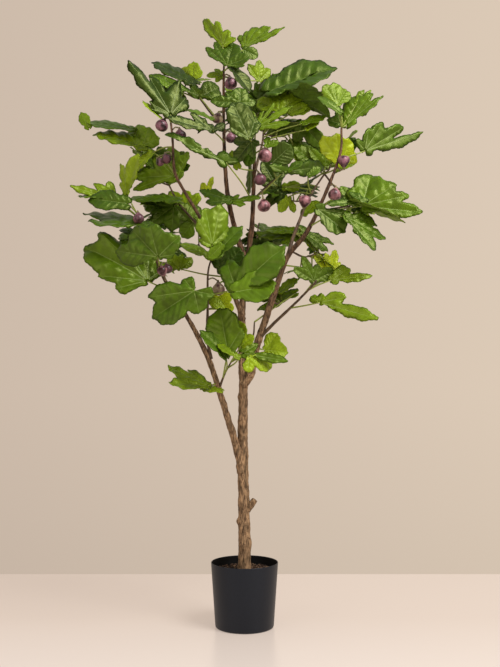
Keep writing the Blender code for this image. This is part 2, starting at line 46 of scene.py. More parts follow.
# Floor, backdrop and lights
FLOOR_BACK = 0.70
FLOOR_REACH = 8
FLOOR_COLOUR = (0.40, 0.35, 0.31)
# Painted light on the floor: the colours it glows with at the back and at the front, and the Y between which the glow
# changes
FLOOR_PAINTED_LIGHT_BACK = (0.33, 0.265, 0.225)
FLOOR_PAINTED_LIGHT_FRONT = (0.47, 0.43, 0.41)
FLOOR_PAINTED_LIGHT_ENDS = (0.1, -1.1)
LIGHTS_AIM = (0, 0, 1.0)
SOFT_BOXES = {
    "key": ((1.5, -1.5, 3.3), 1.5, 88),
    "fill": ((-2.4, -2.6, 2.1), 1.8, 17),
    "side": ((2.5, -2.2, 2.3), 1.6, 24),
}
# Backdrop: the wall's colour on the left and on the right, paler on the right as painted light, and darker near the
# floor as painted shade
BACKDROP_LEFT = (0.610, 0.497, 0.403)
BACKDROP_PAINTED_LIGHT_RIGHT = (0.712, 0.588, 0.468)
BACKDROP_SIDES = (-0.26, 0.26)
BACKDROP_SHADE = (0.93, 0.93, 0.93)
BACKDROP_SHADE_ROWS = (-0.03, -0.21)
LIGHT_FROM_ABOVE = (0.42, 0.42, 0.42)
BACKDROP_TOP = (0.42, 0.80)

# Pot and chips
POT_HEIGHT = 0.190
POT_RIM_RADIUS = 0.0988
POT_FOOT_RADIUS = 0.0865
POT_WALL = 0.0025
POT_STEPS = 128
POT_FLOOR = 0.004
POT_FOOT_ROUND = 0.005
POT_COLOUR = (0.0036, 0.0042, 0.0070)
POT_SHEEN = (0.78, 0.86, 1)
# Painted shade: the inside wall of the pot is darker than its outside
POT_INSIDE_PAINTED_SHADE = (0.0015, 0.0015, 0.0015)
CHIPS_TOP = 0.163
CHIP_COUNT = 900
CHIP_RING = (0.021, 0.090)
CHIP_LENGTHS = (0.004, 0.013)
CHIP_WIDTH = 0.28
CHIP_THICKNESS = 0.09
CHIP_COLOURS = {
    "chip_dark": (0.030, 0.016, 0.010),
    "chip_mid": (0.075, 0.038, 0.021),
    "chip_pale": (0.15, 0.085, 0.045),
}
CHIP_BED = ((0.0215, 0.151), (0.0215, 0.164), (0.055, 0.164), (0.0940, 0.163), (0.0935, 0.151))

# Limbs: the points each passes from foot to tip, and its radius at foot and tip
LIMBS = {
    "trunk": (((0, 0, 0.121), (0, 0, 0.19), (0, 0, 0.27), (-0.003, 0, 0.40), (-0.006, 0, 0.560)), (0.0180, 0.0148)),
    "middle_stem": (
        ((-0.006, 0, 0.548), (-0.004, 0, 0.70), (-0.008, 0, 0.92), (0.006, 0, 1.055), (0.022, -0.015, 1.187),
         (0.028, -0.040, 1.335), (0.030, -0.060, 1.42)),
        (0.0146, 0.0040),
    ),
    "left_bough": (
        ((-0.007, -0.003, 0.455), (-0.024, -0.020, 0.530), (-0.052, -0.036, 0.625), (-0.106, -0.060, 0.793),
         (-0.174, -0.080, 0.925), (-0.226, -0.100, 1.012), (-0.269, -0.090, 1.118), (-0.300, -0.070, 1.190)),
        (0.0112, 0.0028),
    ),
    "left_inner_bough": (
        ((-0.097, -0.060, 0.788), (-0.106, -0.074, 0.850), (-0.105, -0.082, 0.930), (-0.104, -0.090, 1.030),
         (-0.094, -0.090, 1.075)),
        (0.0045, 0.0024),
    ),
    "low_twig": (((-0.072, -0.047, 0.707), (-0.056, -0.078, 0.745), (-0.038, -0.110, 0.778)), (0.0032, 0.0020)),
    "upper_left_bough": (
        ((-0.005, -0.003, 0.905), (-0.030, -0.050, 0.973), (-0.084, -0.090, 1.112), (-0.130, -0.100, 1.196),
         (-0.177, -0.110, 1.274), (-0.198, -0.110, 1.321), (-0.203, -0.110, 1.407), (-0.208, -0.110, 1.455)),
        (0.0072, 0.0030),
    ),
    "top_bough": (
        ((0.003, -0.001, 1.075), (-0.023, -0.010, 1.152), (-0.044, -0.020, 1.238), (-0.054, -0.030, 1.312),
         (-0.060, -0.030, 1.441), (-0.061, -0.030, 1.572), (-0.060, -0.030, 1.642)),
        (0.0082, 0.0028),
    ),
    "high_left_twig": (((-0.060, -0.030, 1.461), (-0.096, 0.010, 1.509), (-0.134, 0.040, 1.566)), (0.0030, 0.0020)),
    "right_bough": (
        ((-0.004, -0.002, 0.712), (0.016, -0.012, 0.746), (0.039, -0.030, 0.837), (0.062, -0.040, 0.904),
         (0.105, -0.060, 1.035), (0.128, -0.060, 1.088), (0.180, -0.070, 1.153), (0.232, -0.080, 1.261),
         (0.274, -0.080, 1.375), (0.278, -0.080, 1.449)),
        (0.0118, 0.0028),
    ),
    "right_inner_bough": (
        ((0.126, -0.060, 1.084), (0.140, -0.040, 1.137), (0.160, -0.030, 1.190), (0.189, 0.000, 1.262),
         (0.240, 0.060, 1.345)),
        (0.0056, 0.0026),
    ),
    "lower_right_bough": (
        ((0.044, -0.033, 0.850), (0.088, -0.055, 0.893), (0.131, -0.080, 0.933), (0.190, -0.120, 0.991),
         (0.203, -0.130, 1.008)),
        (0.0052, 0.0025),
    ),
    "front_twig": (((-0.004, -0.002, 0.806), (0.024, -0.030, 0.852), (0.029, -0.040, 0.895)), (0.0032, 0.0020)),
    "right_twig": (((0.206, -0.075, 1.206), (0.258, -0.090, 1.217), (0.300, -0.108, 1.220)), (0.0028, 0.0020)),
    "centre_right_twig": (((0.022, -0.022, 1.250), (0.063, -0.032, 1.290), (0.092, -0.045, 1.312)), (0.0028, 0.0020)),
    "low_back_bough": (
        ((-0.008, 0.002, 0.890), (-0.006, 0.080, 0.965), (0.010, 0.170, 1.060), (0.030, 0.255, 1.150)),
        (0.0066, 0.0028),
    ),
    "left_back_bough": (
        ((-0.086, -0.090, 1.114), (-0.142, 0.030, 1.190), (-0.200, 0.110, 1.262), (-0.236, 0.160, 1.330)),
        (0.0046, 0.0026),
    ),
    "high_back_bough": (
        ((0.026, -0.034, 1.310), (0.040, 0.045, 1.385), (0.055, 0.125, 1.460), (0.060, 0.195, 1.545)),
        (0.0042, 0.0026),
    ),
}
THICKEST_TWIG = 0.006
TWIG_SIDES = 12
COLLAR_SWELL = 0.35
TRUNK_FLARE = 0.0022
TRUNK_FLARE_HEIGHT = 0.045
COLLAR_LENGTH = 0.018
BARK_STEP = 0.004
BARK_RELIEF = 0.0011
BARK_SIDES = 36
BARK_DARKENS = (0.75, 1.15)
BARK_DARKENING = (0.42, 0.34, 0.30)
BARK_DARK = (0.13, 0.078, 0.037)
BARK_PALE = (0.41, 0.252, 0.132)
BARK_CRACK_COLOUR = (0.34, 0.28, 0.23)
BARK_CRACK_SCALE = 420
BARK_CRACK_STRETCH = (1, 1, 0.16)
BARK_CRACK_EDGE = (0.36, 0.50)

# The sawn stub on the trunk, and knots: pixel on the bark's edge, depth, and the width and rise of each
STUB_ROUTE = ((0.004, -0.002, 0.338), (0.018, -0.004, 0.356), (0.030, -0.006, 0.374))
STUB_RADII = (0.0105, 0.0080)
KNOTS = {
    "trunk_left": ((238, 521), 0.0, (0.010, 0.0065)),
    "trunk_left_high": ((237, 466), 0.0, (0.008, 0.0035)),
    "trunk_right": ((251, 543), 0.0, (0.014, 0.0040)),
    "trunk_front": ((244, 506), -0.015, (0.012, 0.0030)),
    "stem_left": ((238.5, 397), 0.0, (0.008, 0.0035)),
    "stem_right": ((250, 374), -0.005, (0.016, 0.0050)),
    "fork_front": ((243, 452), -0.012, (0.014, 0.0030)),
    "bough_left": ((236, 430), -0.03, (0.010, 0.0030)),
    "bough_left_high": ((227, 404), -0.04, (0.009, 0.0025)),
}

# Leaf kinds, in shares of the leaf's length: the reach of its body, how round its lobes end, and for each lobe its
# direction in radians from the middle vein, its length and its half angle. Side lobes stand on both sides
LEAF_KINDS = {
    "five": (0.42, 1.7, ((0, 1.0, 0.53), (0.82, 0.86, 0.52), (1.66, 0.56, 0.58))),
    "three": (0.52, 1.6, ((0, 1.0, 0.60), (0.90, 0.76, 0.60), (1.82, 0.46, 0.64))),
    "oval": (0.50, 1.7, ((0, 1.0, 0.74), (1.00, 0.60, 0.62), (1.92, 0.40, 0.66))),
    "long": (0.32, 1.4, ((0, 1.0, 0.42), (0.62, 0.58, 0.42), (1.52, 0.36, 0.58))),
    "lobe": (0.30, 1.2, ((0, 1.0, 0.78),)),
    "round": (0.36, 1.7, ((0, 1.0, 1.00),)),
    "point": (0.25, 1.0, ((0, 1.0, 0.80),)),
}
KIND_VARIANTS = 3
BASE_SINUS = 2.75
LOBE_FULLNESS = 0.48
LOBE_BLEND = 18
POINTED_TIP = 0.05
POINTED_TIP_WIDTH = 0.05
TOOTH_PITCH = 0.075
TOOTH = 0.004
TOOTH_STEPS = (-1.0, 0.6, 0.8)
WAVE_PITCH = 0.27
WAVE = 0.011
SLIT_CALM = 0.05
GRID = 0.042
VEIN_START = 0.04
VEIN_STEP = 0.06
VEIN_WIDTH = 0.0065
SIDE_VEIN_PITCH = 0.15
SIDE_VEIN_SLOPE = 0.75
LEAF_THICKNESS = 0.0007

# Ranges that each leaf draws its own form from, as heights in shares of its length
PUCKER = (0.024, 0.046)
DROOP = (-0.05, 0.20)
CUP = (-0.12, 0.14)
TWIST = (-0.12, 0.12)
RIPPLE = (0.005, 0.018)
WARP = 0.012
LEAN = (-0.05, 0.20)
# Leaf tones, each partly a leaf's own colour and partly painted light and shade: brighter tones for leaves that look
# lit, darker ones for leaves that look shaded
LEAF_TONES_AND_PAINTED_LIGHT = {
    "deep": (0.018, 0.040, 0.003),
    "dark": (0.035, 0.074, 0.004),
    "moss": (0.050, 0.099, 0.004),
    "mid": (0.072, 0.132, 0.004),
    "leafy": (0.098, 0.165, 0.005),
    "fresh": (0.133, 0.205, 0.005),
    "bright": (0.215, 0.310, 0.008),
    "lime": (0.340, 0.420, 0.010),
}
TONE_NAMES = tuple(LEAF_TONES_AND_PAINTED_LIGHT)
MOST_TRIANGLES = 190000

LEAF_SHEEN = (0.90, 1, 0.30)
VEIN_PALE = (0.42, 0.52, 0.12)
UNDERSIDE_PALE = (0.16, 0.24, 0.05)
STALK_COLOUR = (0.26, 0.31, 0.055)

# Leaves that the photograph shows: the foot in its pixels, the depth behind the pot's axis, the tone, which is partly
# the leaf's own colour and partly painted light and shade, and the blades or single lobes that spread from this foot.
# Each has its tip in pixels, its kind, the share of its breadth that shows, and how sharply it folds at its veins
PHOTO_LEAVES = {
    "top_left": (
        (223, 45), -0.03, "fresh", ((200.5, 15), "lobe", 0.42, 0.25), ((215, 20), "lobe", 0.5, 0.2),
        ((228, 28.5), "lobe", 1, 0.2), ((236, 37.5), "lobe", 0.8, 0.2),
    ),
    "top_right": (
        (245, 47.5), 0.02, "leafy", ((286, 25.5), "point", 0.34, 0.15), ((270, 25), "round", 0.5, 0.15),
        ((257, 25.5), "round", 0.7, 0.2), ((246, 29), "lobe", 0.7, 0.2), ((238.5, 33), "lobe", 0.6, 0.3),
    ),
    "top_small_right": ((243, 50), 0, "dark", ((258.5, 57), "round", 0.9, 0.2)),
    "top_dark_low": (
        (227, 65), -0.05, "dark", ((206, 47.5), "lobe", 0.5, 0.2), ((214, 42), "lobe", 0.8, 0.2),
        ((233, 41), "round", 0.8, 0.2), ((250, 56), "round", 0.7, 0.25), ((245, 66), "lobe", 0.5, 0.1),
    ),
    "top_lime": (
        (259, 81), 0.05, "fresh", ((248, 63.5), "lobe", 0.75, 0.2), ((259, 59.5), "lobe", 0.85, 0.2),
        ((271, 68), "lobe", 0.75, 0.2),
    ),
    "top_low_left": ((222, 75), 0, "fresh", ((206, 76), "three", 0.7, 0.1)),
    "top_low_right": ((231, 67), -0.04, "deep", ((251, 93), "lobe", 0.62, 0.2)),
    "high_front": (
        (240, 103), -0.09, "dark", ((211, 98.5), "lobe", 0.7, 0.15), ((226, 92), "lobe", 0.8, 0.2),
        ((241, 86), "round", 1, 0.2), ((257, 101), "lobe", 0.9, 0.2),
    ),
    "upper_left": (
        (170.5, 114.5), -0.12, "deep", ((126.5, 60), "lobe", 0.34, 0.15), ((150, 73), "lobe", 0.45, 0.15),
        ((149, 101), "round", 0.95, 0.2), ((179, 81), "lobe", 0.8, 0.25), ((187.5, 95.5), "lobe", 0.95, 0.25),
        ((151, 109), "lobe", 0.6, 0.1),
    ),
    "upper_left_back": (
        (170, 112), -0.09, "dark", ((156, 82), "lobe", 0.75, 0.15), ((181, 88), "lobe", 0.5, 0.2),
    ),
    "upper_left_bright": ((170, 87), -0.07, "mid", ((151.5, 76.5), "lobe", 0.6, 0.1)),
    "upper_left_point": ((160, 118), -0.13, "bright", ((142, 100.5), "lobe", 0.25, 0.1)),
    "high_left": (
        (199.7, 97), 0.04, "moss", ((149, 68.5), "lobe", 0.32, 0.1), ((220, 86.5), "round", 0.9, 0.15),
        ((190, 84), "lobe", 0.9, 0.2),
    ),
    "high_left_dark": ((195, 84), 0.07, "deep", ((151, 61.5), "lobe", 0.38, 0.05)),
    "high_left_lime": (
        (193, 80), 0.11, "bright", ((193, 61), "round", 0.8, 0.2), ((180, 67), "lobe", 0.9, 0.2),
        ((201, 69), "round", 0.8, 0.2),
    ),
    "inner_left_dark": (
        (213, 131), -0.15, "deep", ((167, 116.5), "lobe", 0.32, 0.1), ((190, 112), "lobe", 0.4, 0.1),
        ((226, 124), "lobe", 0.6, 0.1),
    ),
    "inner_left_upper": ((212, 120), -0.13, "mid", ((184, 109.5), "lobe", 0.27, 0.2)),
    "inner_left_long": (
        (226, 162.5), -0.16, "dark", ((162, 133), "lobe", 0.3, 0.1), ((180, 142), "lobe", 0.3, 0.1),
        ((240, 160), "lobe", 0.75, 0.2),
    ),
    "far_left_flag_back": ((132, 129.5), -0.02, "moss", ((84, 122), "lobe", 0.32, 0.05)),
    "far_left_flag_tip": ((89, 128), -0.03, "leafy", ((80.5, 112), "lobe", 1, 0.1)),
    "far_left_flag": ((146.5, 147.5), -0.03, "fresh", ((92, 134), "lobe", 0.42, 0.15)),
    "far_left_flag_right": (
        (143, 145), -0.025, "leafy", ((128, 125), "round", 0.95, 0.15), ((149, 127), "round", 1, 0.15),
        ((160, 138), "round", 0.9, 0.15),
    ),
    "left_upright": (
        (127, 195), -0.07, "bright", ((136, 153), "lobe", 0.42, 0.3), ((121, 163), "lobe", 0.45, 0.25),
        ((120, 182), "lobe", 0.4, 0.2),
    ),
    "left_broad_upper": ((152, 153), -0.05, "bright", ((134, 172.5), "lobe", 0.6, 0.3)),
    "left_broad": (
        (174, 176), -0.06, "leafy", ((131, 176), "lobe", 0.58, 0.2), ((131, 188.5), "lobe", 0.34, 0.05),
        ((153, 156), "lobe", 0.85, 0.2),
    ),
    "left_behind_stem": (
        (177, 178), 0.14, "leafy", ((190, 152), "lobe", 0.85, 0.2), ((168, 146), "lobe", 0.9, 0.2),
        ((184, 170), "lobe", 0.8, 0.2),
    ),
    "far_left_lime": (
        (114, 200), -0.07, "fresh", ((94, 182), "lobe", 0.85, 0.2), ((109, 179), "lobe", 0.65, 0.25),
        ((70, 185), "lobe", 0.33, 0.1),
    ),
    "far_left_dark": ((128, 204), -0.1, "dark", ((87, 200), "lobe", 0.85, 0.2)),
    "far_left_grey": ((106, 197), -0.09, "mid", ((77, 196), "lobe", 0.2, 0.05)),
    "left_back_top": ((178, 201), 0.09, "mid", ((117, 201), "lobe", 0.24, 0.1)),
    "far_left_low": (
        (149, 225), -0.1, "moss", ((81.5, 212.5), "lobe", 0.22, 0.02), ((86, 221.5), "lobe", 0.2, 0.02),
    ),
    "left_back_dark": (
        (174, 206), 0.1, "moss", ((141, 205), "lobe", 0.95, 0.3), ((153, 196), "lobe", 0.95, 0.2),
        ((150, 224), "lobe", 0.95, 0.3), ((172, 233), "lobe", 0.95, 0.3), ((187, 220), "lobe", 0.95, 0.2),
    ),
    "left_back_lime": (
        (190, 210), 0.2, "bright", ((167, 191), "lobe", 0.75, 0.15), ((182, 189), "lobe", 0.9, 0.15),
        ((198, 192), "lobe", 0.9, 0.15),
    ),
    "left_back_green": (
        (193, 222), 0.17, "mid", ((180, 202), "lobe", 1, 0.15), ((200, 204), "lobe", 1, 0.15),
        ((183, 236), "round", 1, 0.15),
    ),
    "lower_left_large": (
        (147, 281), -0.085, "mid", ((84, 240), "round", 0.75, 0.3), ((97, 273), "lobe", 0.6, 0.2),
        ((114, 287), "round", 0.5, 0.2), ((98, 232.5), "round", 0.6, 0.2), ((120, 236), "lobe", 0.8, 0.2),
        ((150, 247), "lobe", 0.8, 0.2), ((162, 268), "lobe", 0.8, 0.2),
    ),
    "left_front_broad": (
        (158, 257), -0.205, "moss", ((112, 250), "lobe", 0.8, 0.2), ((128, 228), "round", 0.75, 0.2),
        ((150, 223.5), "round", 0.8, 0.2), ((178, 235), "round", 0.9, 0.2), ((175, 254), "lobe", 0.6, 0.2),
    ),
    "left_inner": (
        (180, 269), -0.06, "fresh", ((193, 257.5), "lobe", 0.9, 0.15), ((182, 253.5), "lobe", 0.7, 0.15),
        ((168, 256), "round", 0.9, 0.15), ((160, 267), "lobe", 0.5, 0.1),
    ),
    "left_low": (
        (194, 291), -0.17, "moss", ((147, 297), "lobe", 0.8, 0.3), ((149.5, 316), "round", 0.85, 0.25),
        ((183, 278), "round", 0.9, 0.2), ((199, 314), "round", 1, 0.2), ((214, 294), "round", 0.85, 0.2),
    ),
    "low_left_long": (
        (208, 386), -0.08, "fresh", ((166, 366), "lobe", 0.5, 0.2), ((168, 383.5), "lobe", 0.5, 0.2),
        ((188, 369), "lobe", 0.5, 0.1),
    ),
    "low_left_small": ((222, 391), -0.08, "bright", ((199, 389), "lobe", 0.5, 0.1)),
    "centre_dark": (
        (231, 200.5), -0.06, "dark", ((199, 190), "lobe", 0.5, 0.1), ((205, 203), "lobe", 0.6, 0.1),
    ),
    "centre_edge": (
        (229, 201.5), -0.05, "mid", ((262, 197.5), "lobe", 0.3, 0.1), ((240, 195), "lobe", 0.6, 0.1),
        ((246, 205.5), "lobe", 0.5, 0.1),
    ),
    "centre_lime": (
        (207, 196), -0.04, "lime", ((212.8, 176), "lobe", 0.45, 0.1), ((202, 182), "lobe", 0.8, 0.2),
    ),
    "inner_left_bright": (
        (212, 245), -0.18, "leafy", ((221, 203), "round", 0.78, 0.2), ((207, 206), "round", 0.6, 0.2),
        ((197, 218), "lobe", 1, 0.25), ((199, 239), "lobe", 0.8, 0.2), ((231, 226), "lobe", 0.7, 0.2),
    ),
    "inner_left_mid": ((215, 256), -0.17, "moss", ((243, 226), "lobe", 0.75, 0.2)),
    "inner_left_fresh": ((222, 245), -0.185, "mid", ((208, 259), "lobe", 1, 0.25)),
    "inner_left_thin": ((212, 258), -0.1, "fresh", ((178, 243.5), "lobe", 0.48, 0.05)),
    "front_middle_large": (
        (235.5, 289), -0.18, "moss", ((285, 246), "lobe", 1, 0.25), ((226, 259), "lobe", 0.95, 0.25),
    ),
    "front_middle_low": ((234, 292), -0.2, "mid", ((277, 284), "round", 0.85, 0.2)),
    "front_middle_deep": (
        (222, 272), -0.11, "deep", ((240, 247), "round", 0.9, 0.16), ((214, 250), "lobe", 0.9, 0.2),
    ),
    "low_front": ((228, 351), -0.17, "mid", ((219, 307), "round", 0.8, 0.35), ((242, 327), "lobe", 1, 0.25)),
    "low_front_left": ((226, 357.5), -0.175, "moss", ((199, 330), "lobe", 0.58, 0.2)),
    "low_front_under": ((239, 358), -0.18, "fresh", ((216, 344), "lobe", 0.52, 0.1)),
    "low_front_bright": (
        (241, 346), -0.15, "bright", ((238, 320), "lobe", 1, 0.2), ((254, 335), "lobe", 1, 0.2),
    ),
    "low_right_long": (
        (243, 353), -0.12, "mid", ((289, 361.5), "lobe", 0.34, 0.15), ((258, 343), "lobe", 1, 0.15),
    ),
    "low_right_lime": (
        (249, 357), -0.13, "bright", ((274.5, 365), "round", 0.8, 0.2), ((248, 373), "round", 0.8, 0.15),
    ),
    "low_right_back": (
        (265, 350), -0.03, "bright", ((278, 333.5), "round", 0.8, 0.2), ((288, 351), "round", 0.8, 0.2),
    ),
    "low_yellow": (
        (221, 306), -0.06, "lime", ((229, 292), "round", 0.9, 0.15), ((234, 309), "round", 0.8, 0.15),
        ((214, 295), "lobe", 0.8, 0.1),
    ),
    "low_yellow_left": ((223, 309), -0.07, "bright", ((209, 299), "round", 0.8, 0.15)),
    "low_centre_bright": ((279, 292), 0.03, "fresh", ((299, 278), "lobe", 0.7, 0.2)),
    "low_centre_pale": (
        (296, 293), 0.04, "fresh", ((256, 311), "lobe", 0.5, 0.2), ((260, 299), "lobe", 0.4, 0.2),
    ),
    "high_right_long": ((268, 92), 0.11, "dark", ((337.7, 68), "lobe", 0.62, 0.3)),
    "high_right_inner": (
        (292, 92), 0.12, "dark", ((251, 89), "lobe", 0.95, 0.2), ((272, 74), "lobe", 0.8, 0.2),
    ),
    "high_right_broad": (
        (279, 111), 0.09, "fresh", ((311, 105), "lobe", 0.8, 0.25), ((303, 90), "lobe", 0.8, 0.25),
        ((280, 87), "lobe", 0.8, 0.3), ((256, 98), "lobe", 0.9, 0.3),
    ),
    "high_right_lime": ((296, 88), 0.1, "bright", ((314, 88.5), "lobe", 0.9, 0.2)),
    "high_right_fresh": ((290, 114), 0.08, "fresh", ((308, 104), "lobe", 0.85, 0.2)),
    "front_star": (
        (257, 127), -0.105, "leafy", ((293.4, 104), "point", 0.5, 0.2), ((291, 121), "point", 0.5, 0.15),
        ((264, 108.5), "point", 1, 0.2), ((249.5, 108.5), "point", 0.7, 0.2), ((275, 100), "point", 0.3, 0.1),
    ),
    "front_high_large": (
        (249, 138), -0.175, "deep", ((233, 101), "round", 0.8, 0.2), ((257, 116), "lobe", 0.9, 0.2),
        ((229, 126), "lobe", 0.7, 0.2),
    ),
    "front_high_dark": ((251, 141), -0.14, "deep", ((234, 163), "three", 0.8, 0.2)),
    "front_high_stem": (
        (253, 147), -0.12, "dark", ((247, 167), "round", 0.75, 0.2), ((240, 158), "lobe", 0.8, 0.2),
    ),
    "beside_stem": ((251, 163), -0.02, "dark", ((249.5, 196), "lobe", 0.34, 0.15)),
    "front_high_fresh": ((238, 168), -0.1, "fresh", ((231, 150), "lobe", 1, 0.2)),
    "upper_right_small": ((302, 124), 0.08, "leafy", ((327, 116), "lobe", 0.48, 0.1)),
    "upper_right_fresh": ((306, 130), 0.08, "bright", ((319.5, 121.5), "lobe", 0.65, 0.2)),
    "upper_right_back": (
        (302, 123), 0.13, "moss", ((264, 133), "lobe", 0.6, 0.2), ((296, 143), "lobe", 1, 0.25),
        ((323, 148), "lobe", 0.75, 0.3),
    ),
    "right_top_lime": (
        (337, 105), -0.09, "leafy", ((334, 81.5), "round", 0.8, 0.2), ((347, 87.5), "round", 0.8, 0.2),
        ((321, 95), "lobe", 0.9, 0.2), ((324.5, 83.5), "round", 0.8, 0.2),
    ),
    "right_top_long": ((341, 113), -0.095, "moss", ((316.5, 96.5), "lobe", 0.47, 0.1)),
    "right_top_dark": (
        (346, 125), -0.07, "dark", ((327, 118.5), "lobe", 1, 0.2), ((352, 97), "lobe", 0.75, 0.2),
        ((338, 106), "lobe", 0.9, 0.2),
    ),
    "right_top_fold": (
        (347, 125), -0.08, "mid", ((361, 96), "round", 0.65, 0.25), ((383.5, 92), "point", 0.36, 0.15),
        ((373, 92.5), "round", 0.5, 0.15),
    ),
    "right_top_tip": (
        (357, 104), -0.07, "leafy", ((364.5, 89.5), "lobe", 0.9, 0.2), ((371.5, 88), "lobe", 0.3, 0.1),
    ),
    "far_right": (
        (365, 151), -0.04, "moss", ((425.5, 131.5), "point", 0.34, 0.2), ((407, 126), "lobe", 0.55, 0.2),
        ((384, 122), "round", 0.7, 0.25), ((370, 127.5), "lobe", 0.8, 0.2), ((355.5, 139), "lobe", 0.8, 0.2),
    ),
    "right_upper_lime": (
        (341, 166), 0.03, "lime", ((336, 132.5), "round", 0.8, 0.15), ((349, 138), "round", 0.8, 0.15),
        ((356, 153), "round", 0.8, 0.15), ((321, 136), "round", 0.6, 0.15),
    ),
    "right_upper_fresh": (
        (325, 168), 0.1, "leafy", ((327, 146), "lobe", 0.9, 0.2), ((309, 147), "lobe", 0.6, 0.2),
        ((336, 161), "lobe", 0.8, 0.2),
    ),
    "right_upper_dark": ((319, 165), 0.1, "mid", ((292, 147), "lobe", 0.85, 0.2)),
    "right_upper_side": ((301, 163), 0.09, "fresh", ((293, 152), "lobe", 0.9, 0.2)),
    "right_under_fig": ((336, 172), -0.05, "fresh", ((355.5, 164), "lobe", 0.35, 0.1)),
    "inner_right_long": (
        (283, 172), -0.075, "dark", ((327, 166), "lobe", 0.36, 0.1), ((270, 165), "lobe", 0.65, 0.15),
    ),
    "inner_right_long_top": ((288, 171), -0.07, "moss", ((303, 161), "lobe", 0.7, 0.15)),
    "inner_right_deep": ((272, 163), -0.08, "deep", ((292, 145), "round", 1, 0.2)),
    "behind_figs": (
        (277, 186), 0.02, "deep", ((256, 178), "lobe", 0.8, 0.2), ((262, 160), "lobe", 0.9, 0.2),
        ((279, 163), "lobe", 0.9, 0.2),
    ),
    "inner_right_twig": (
        (266, 147), -0.1, "mid", ((279, 141), "lobe", 0.9, 0.2), ((268, 135.5), "lobe", 0.8, 0.2),
    ),
    "inner_right_lime": ((308, 176), -0.05, "moss", ((321, 167), "lobe", 0.9, 0.2)),
    "inner_right_back": (
        (284, 188), 0.09, "deep", ((263, 190), "lobe", 0.9, 0.2), ((265, 207), "lobe", 1, 0.25),
        ((279, 208), "lobe", 0.9, 0.2),
    ),
    "inner_right_fall": (
        (288, 197), 0.07, "bright", ((278, 212.5), "lobe", 0.9, 0.2), ((295, 213), "lobe", 0.7, 0.2),
    ),
    "inner_right_side": ((283, 187), 0.08, "fresh", ((302, 186), "lobe", 1, 0.2)),
    "inner_right_end": ((303, 214), 0.06, "fresh", ((321, 201), "lobe", 0.9, 0.2)),
    "right_middle_large": (
        (362, 206), -0.125, "mid", ((424, 208), "lobe", 0.46, 0.2), ((411, 193), "lobe", 0.7, 0.2),
        ((397, 184), "round", 0.7, 0.3), ((371, 170), "round", 1.1, 0.3), ((352, 187), "round", 0.8, 0.2),
    ),
    "right_middle_under": ((352, 202), -0.135, "fresh", ((406, 223), "lobe", -0.26, 0.05)),
    "right_middle_left": (
        (366, 202), -0.13, "dark", ((326, 203.5), "lobe", 0.24, 0.1), ((349, 192), "lobe", 0.5, 0.2),
    ),
    "right_middle_small": ((350, 199), -0.1, "moss", ((340, 186), "lobe", 0.9, 0.2)),
    "right_droop_left": (
        (317, 209), -0.15, "dark", ((347, 231), "round", 0.7, 0.25), ((352, 215), "lobe", 0.3, 0.2),
    ),
    "right_droop": (
        (345, 216), -0.155, "moss", ((377, 251), "lobe", 0.36, 0.25), ((386, 241), "lobe", 0.5, 0.2),
        ((379, 224), "lobe", 0.5, 0.2),
    ),
    "right_back_dark": (
        (299, 229), 0.04, "moss", ((330, 250), "lobe", 0.5, 0.15), ((335, 243.5), "lobe", 0.22, 0.05),
    ),
    "right_back_fresh": ((301, 238), 0.05, "bright", ((319.5, 252.5), "lobe", 0.5, 0.2)),
    "right_back_bright": (
        (331, 273), 0.04, "lime", ((337, 248.5), "lobe", 0.8, 0.2), ((341, 262), "lobe", 0.9, 0.2),
        ((326, 252), "lobe", 0.7, 0.2),
    ),
    "right_back_pale": ((323, 268), 0.04, "lime", ((314, 251.5), "lobe", 0.8, 0.2)),
    "inner_right_low": (
        (299, 237), 0.06, "leafy", ((254.5, 231), "lobe", 0.34, 0.1), ((280, 243), "lobe", 0.5, 0.1),
    ),
    "inner_right_low_dark": ((300, 233), 0.07, "leafy", ((263, 230.5), "lobe", 0.34, 0.1)),
    "inner_right_low_end": ((301, 238), 0.08, "fresh", ((289, 227), "lobe", 1, 0.15)),
    "right_lower": (
        (314, 281), -0.11, "moss", ((293, 267.5), "lobe", 0.68, 0.2), ((301.5, 255.5), "lobe", 0.5, 0.2),
        ((318, 264), "lobe", 1, 0.2), ((335, 270), "lobe", 0.85, 0.2),
    ),
    "right_lower_long": (
        (331.5, 280), -0.115, "fresh", ((374, 273.5), "point", 0.42, 0.1), ((350, 266.5), "round", 0.75, 0.2),
    ),
    "far_right_low": (
        (320, 302.5), -0.145, "fresh", ((379, 319.5), "lobe", 0.3, 0.15), ((309, 296), "round", 0.6, 0.15),
        ((322, 292.5), "round", 0.7, 0.15), ((346, 297), "round", 0.6, 0.1),
    ),
}

# Leaves whose stalk leaves its limb at a known pixel
STALKS_FROM = {
    "inner_left_long": (250, 201), "far_left_flag": (173, 177), "left_broad": (178, 185), "high_left": (223, 126),
    "inner_left_dark": (223, 145), "inner_right_long": (252, 200), "far_right": (349, 164),
    "right_middle_large": (324, 209), "far_right_low": (292, 311), "left_inner": (221, 276),
    "lower_left_large": (165, 300), "right_droop": (311, 229), "low_front": (221, 377),
    "low_front_left": (222, 375), "low_front_under": (227, 371), "right_lower": (300, 300),
    "right_lower_long": (308, 292), "low_centre_pale": (254, 322),
}
# Lobes that spring from the blade of another leaf
WITHOUT_STALK = (
    "far_left_flag_back", "far_left_flag_tip", "far_left_flag_right", "upper_left_point", "upper_left_bright",
    "right_middle_under", "right_middle_left", "inner_left_upper",
    "inner_right_long_top", "right_droop_left", "front_middle_low",
)

# A leaf of several lobes: half the angle that a lobe of full breadth spans and how round it is, the reach of
# the blade between lobes, how much of its breadth the blade shows, and the bend of its lobes
LOBE_SHAPES = {"lobe": (0.78, 1.5), "round": (1.05, 2.0), "point": (0.85, 1.0)}
LOBED_BODY = 0.36
NOTCH = 0.56
MOST_SHOWN = 0.92
BREADTH_SHOWN = 1.35
BEND = (-0.05, 0.22)

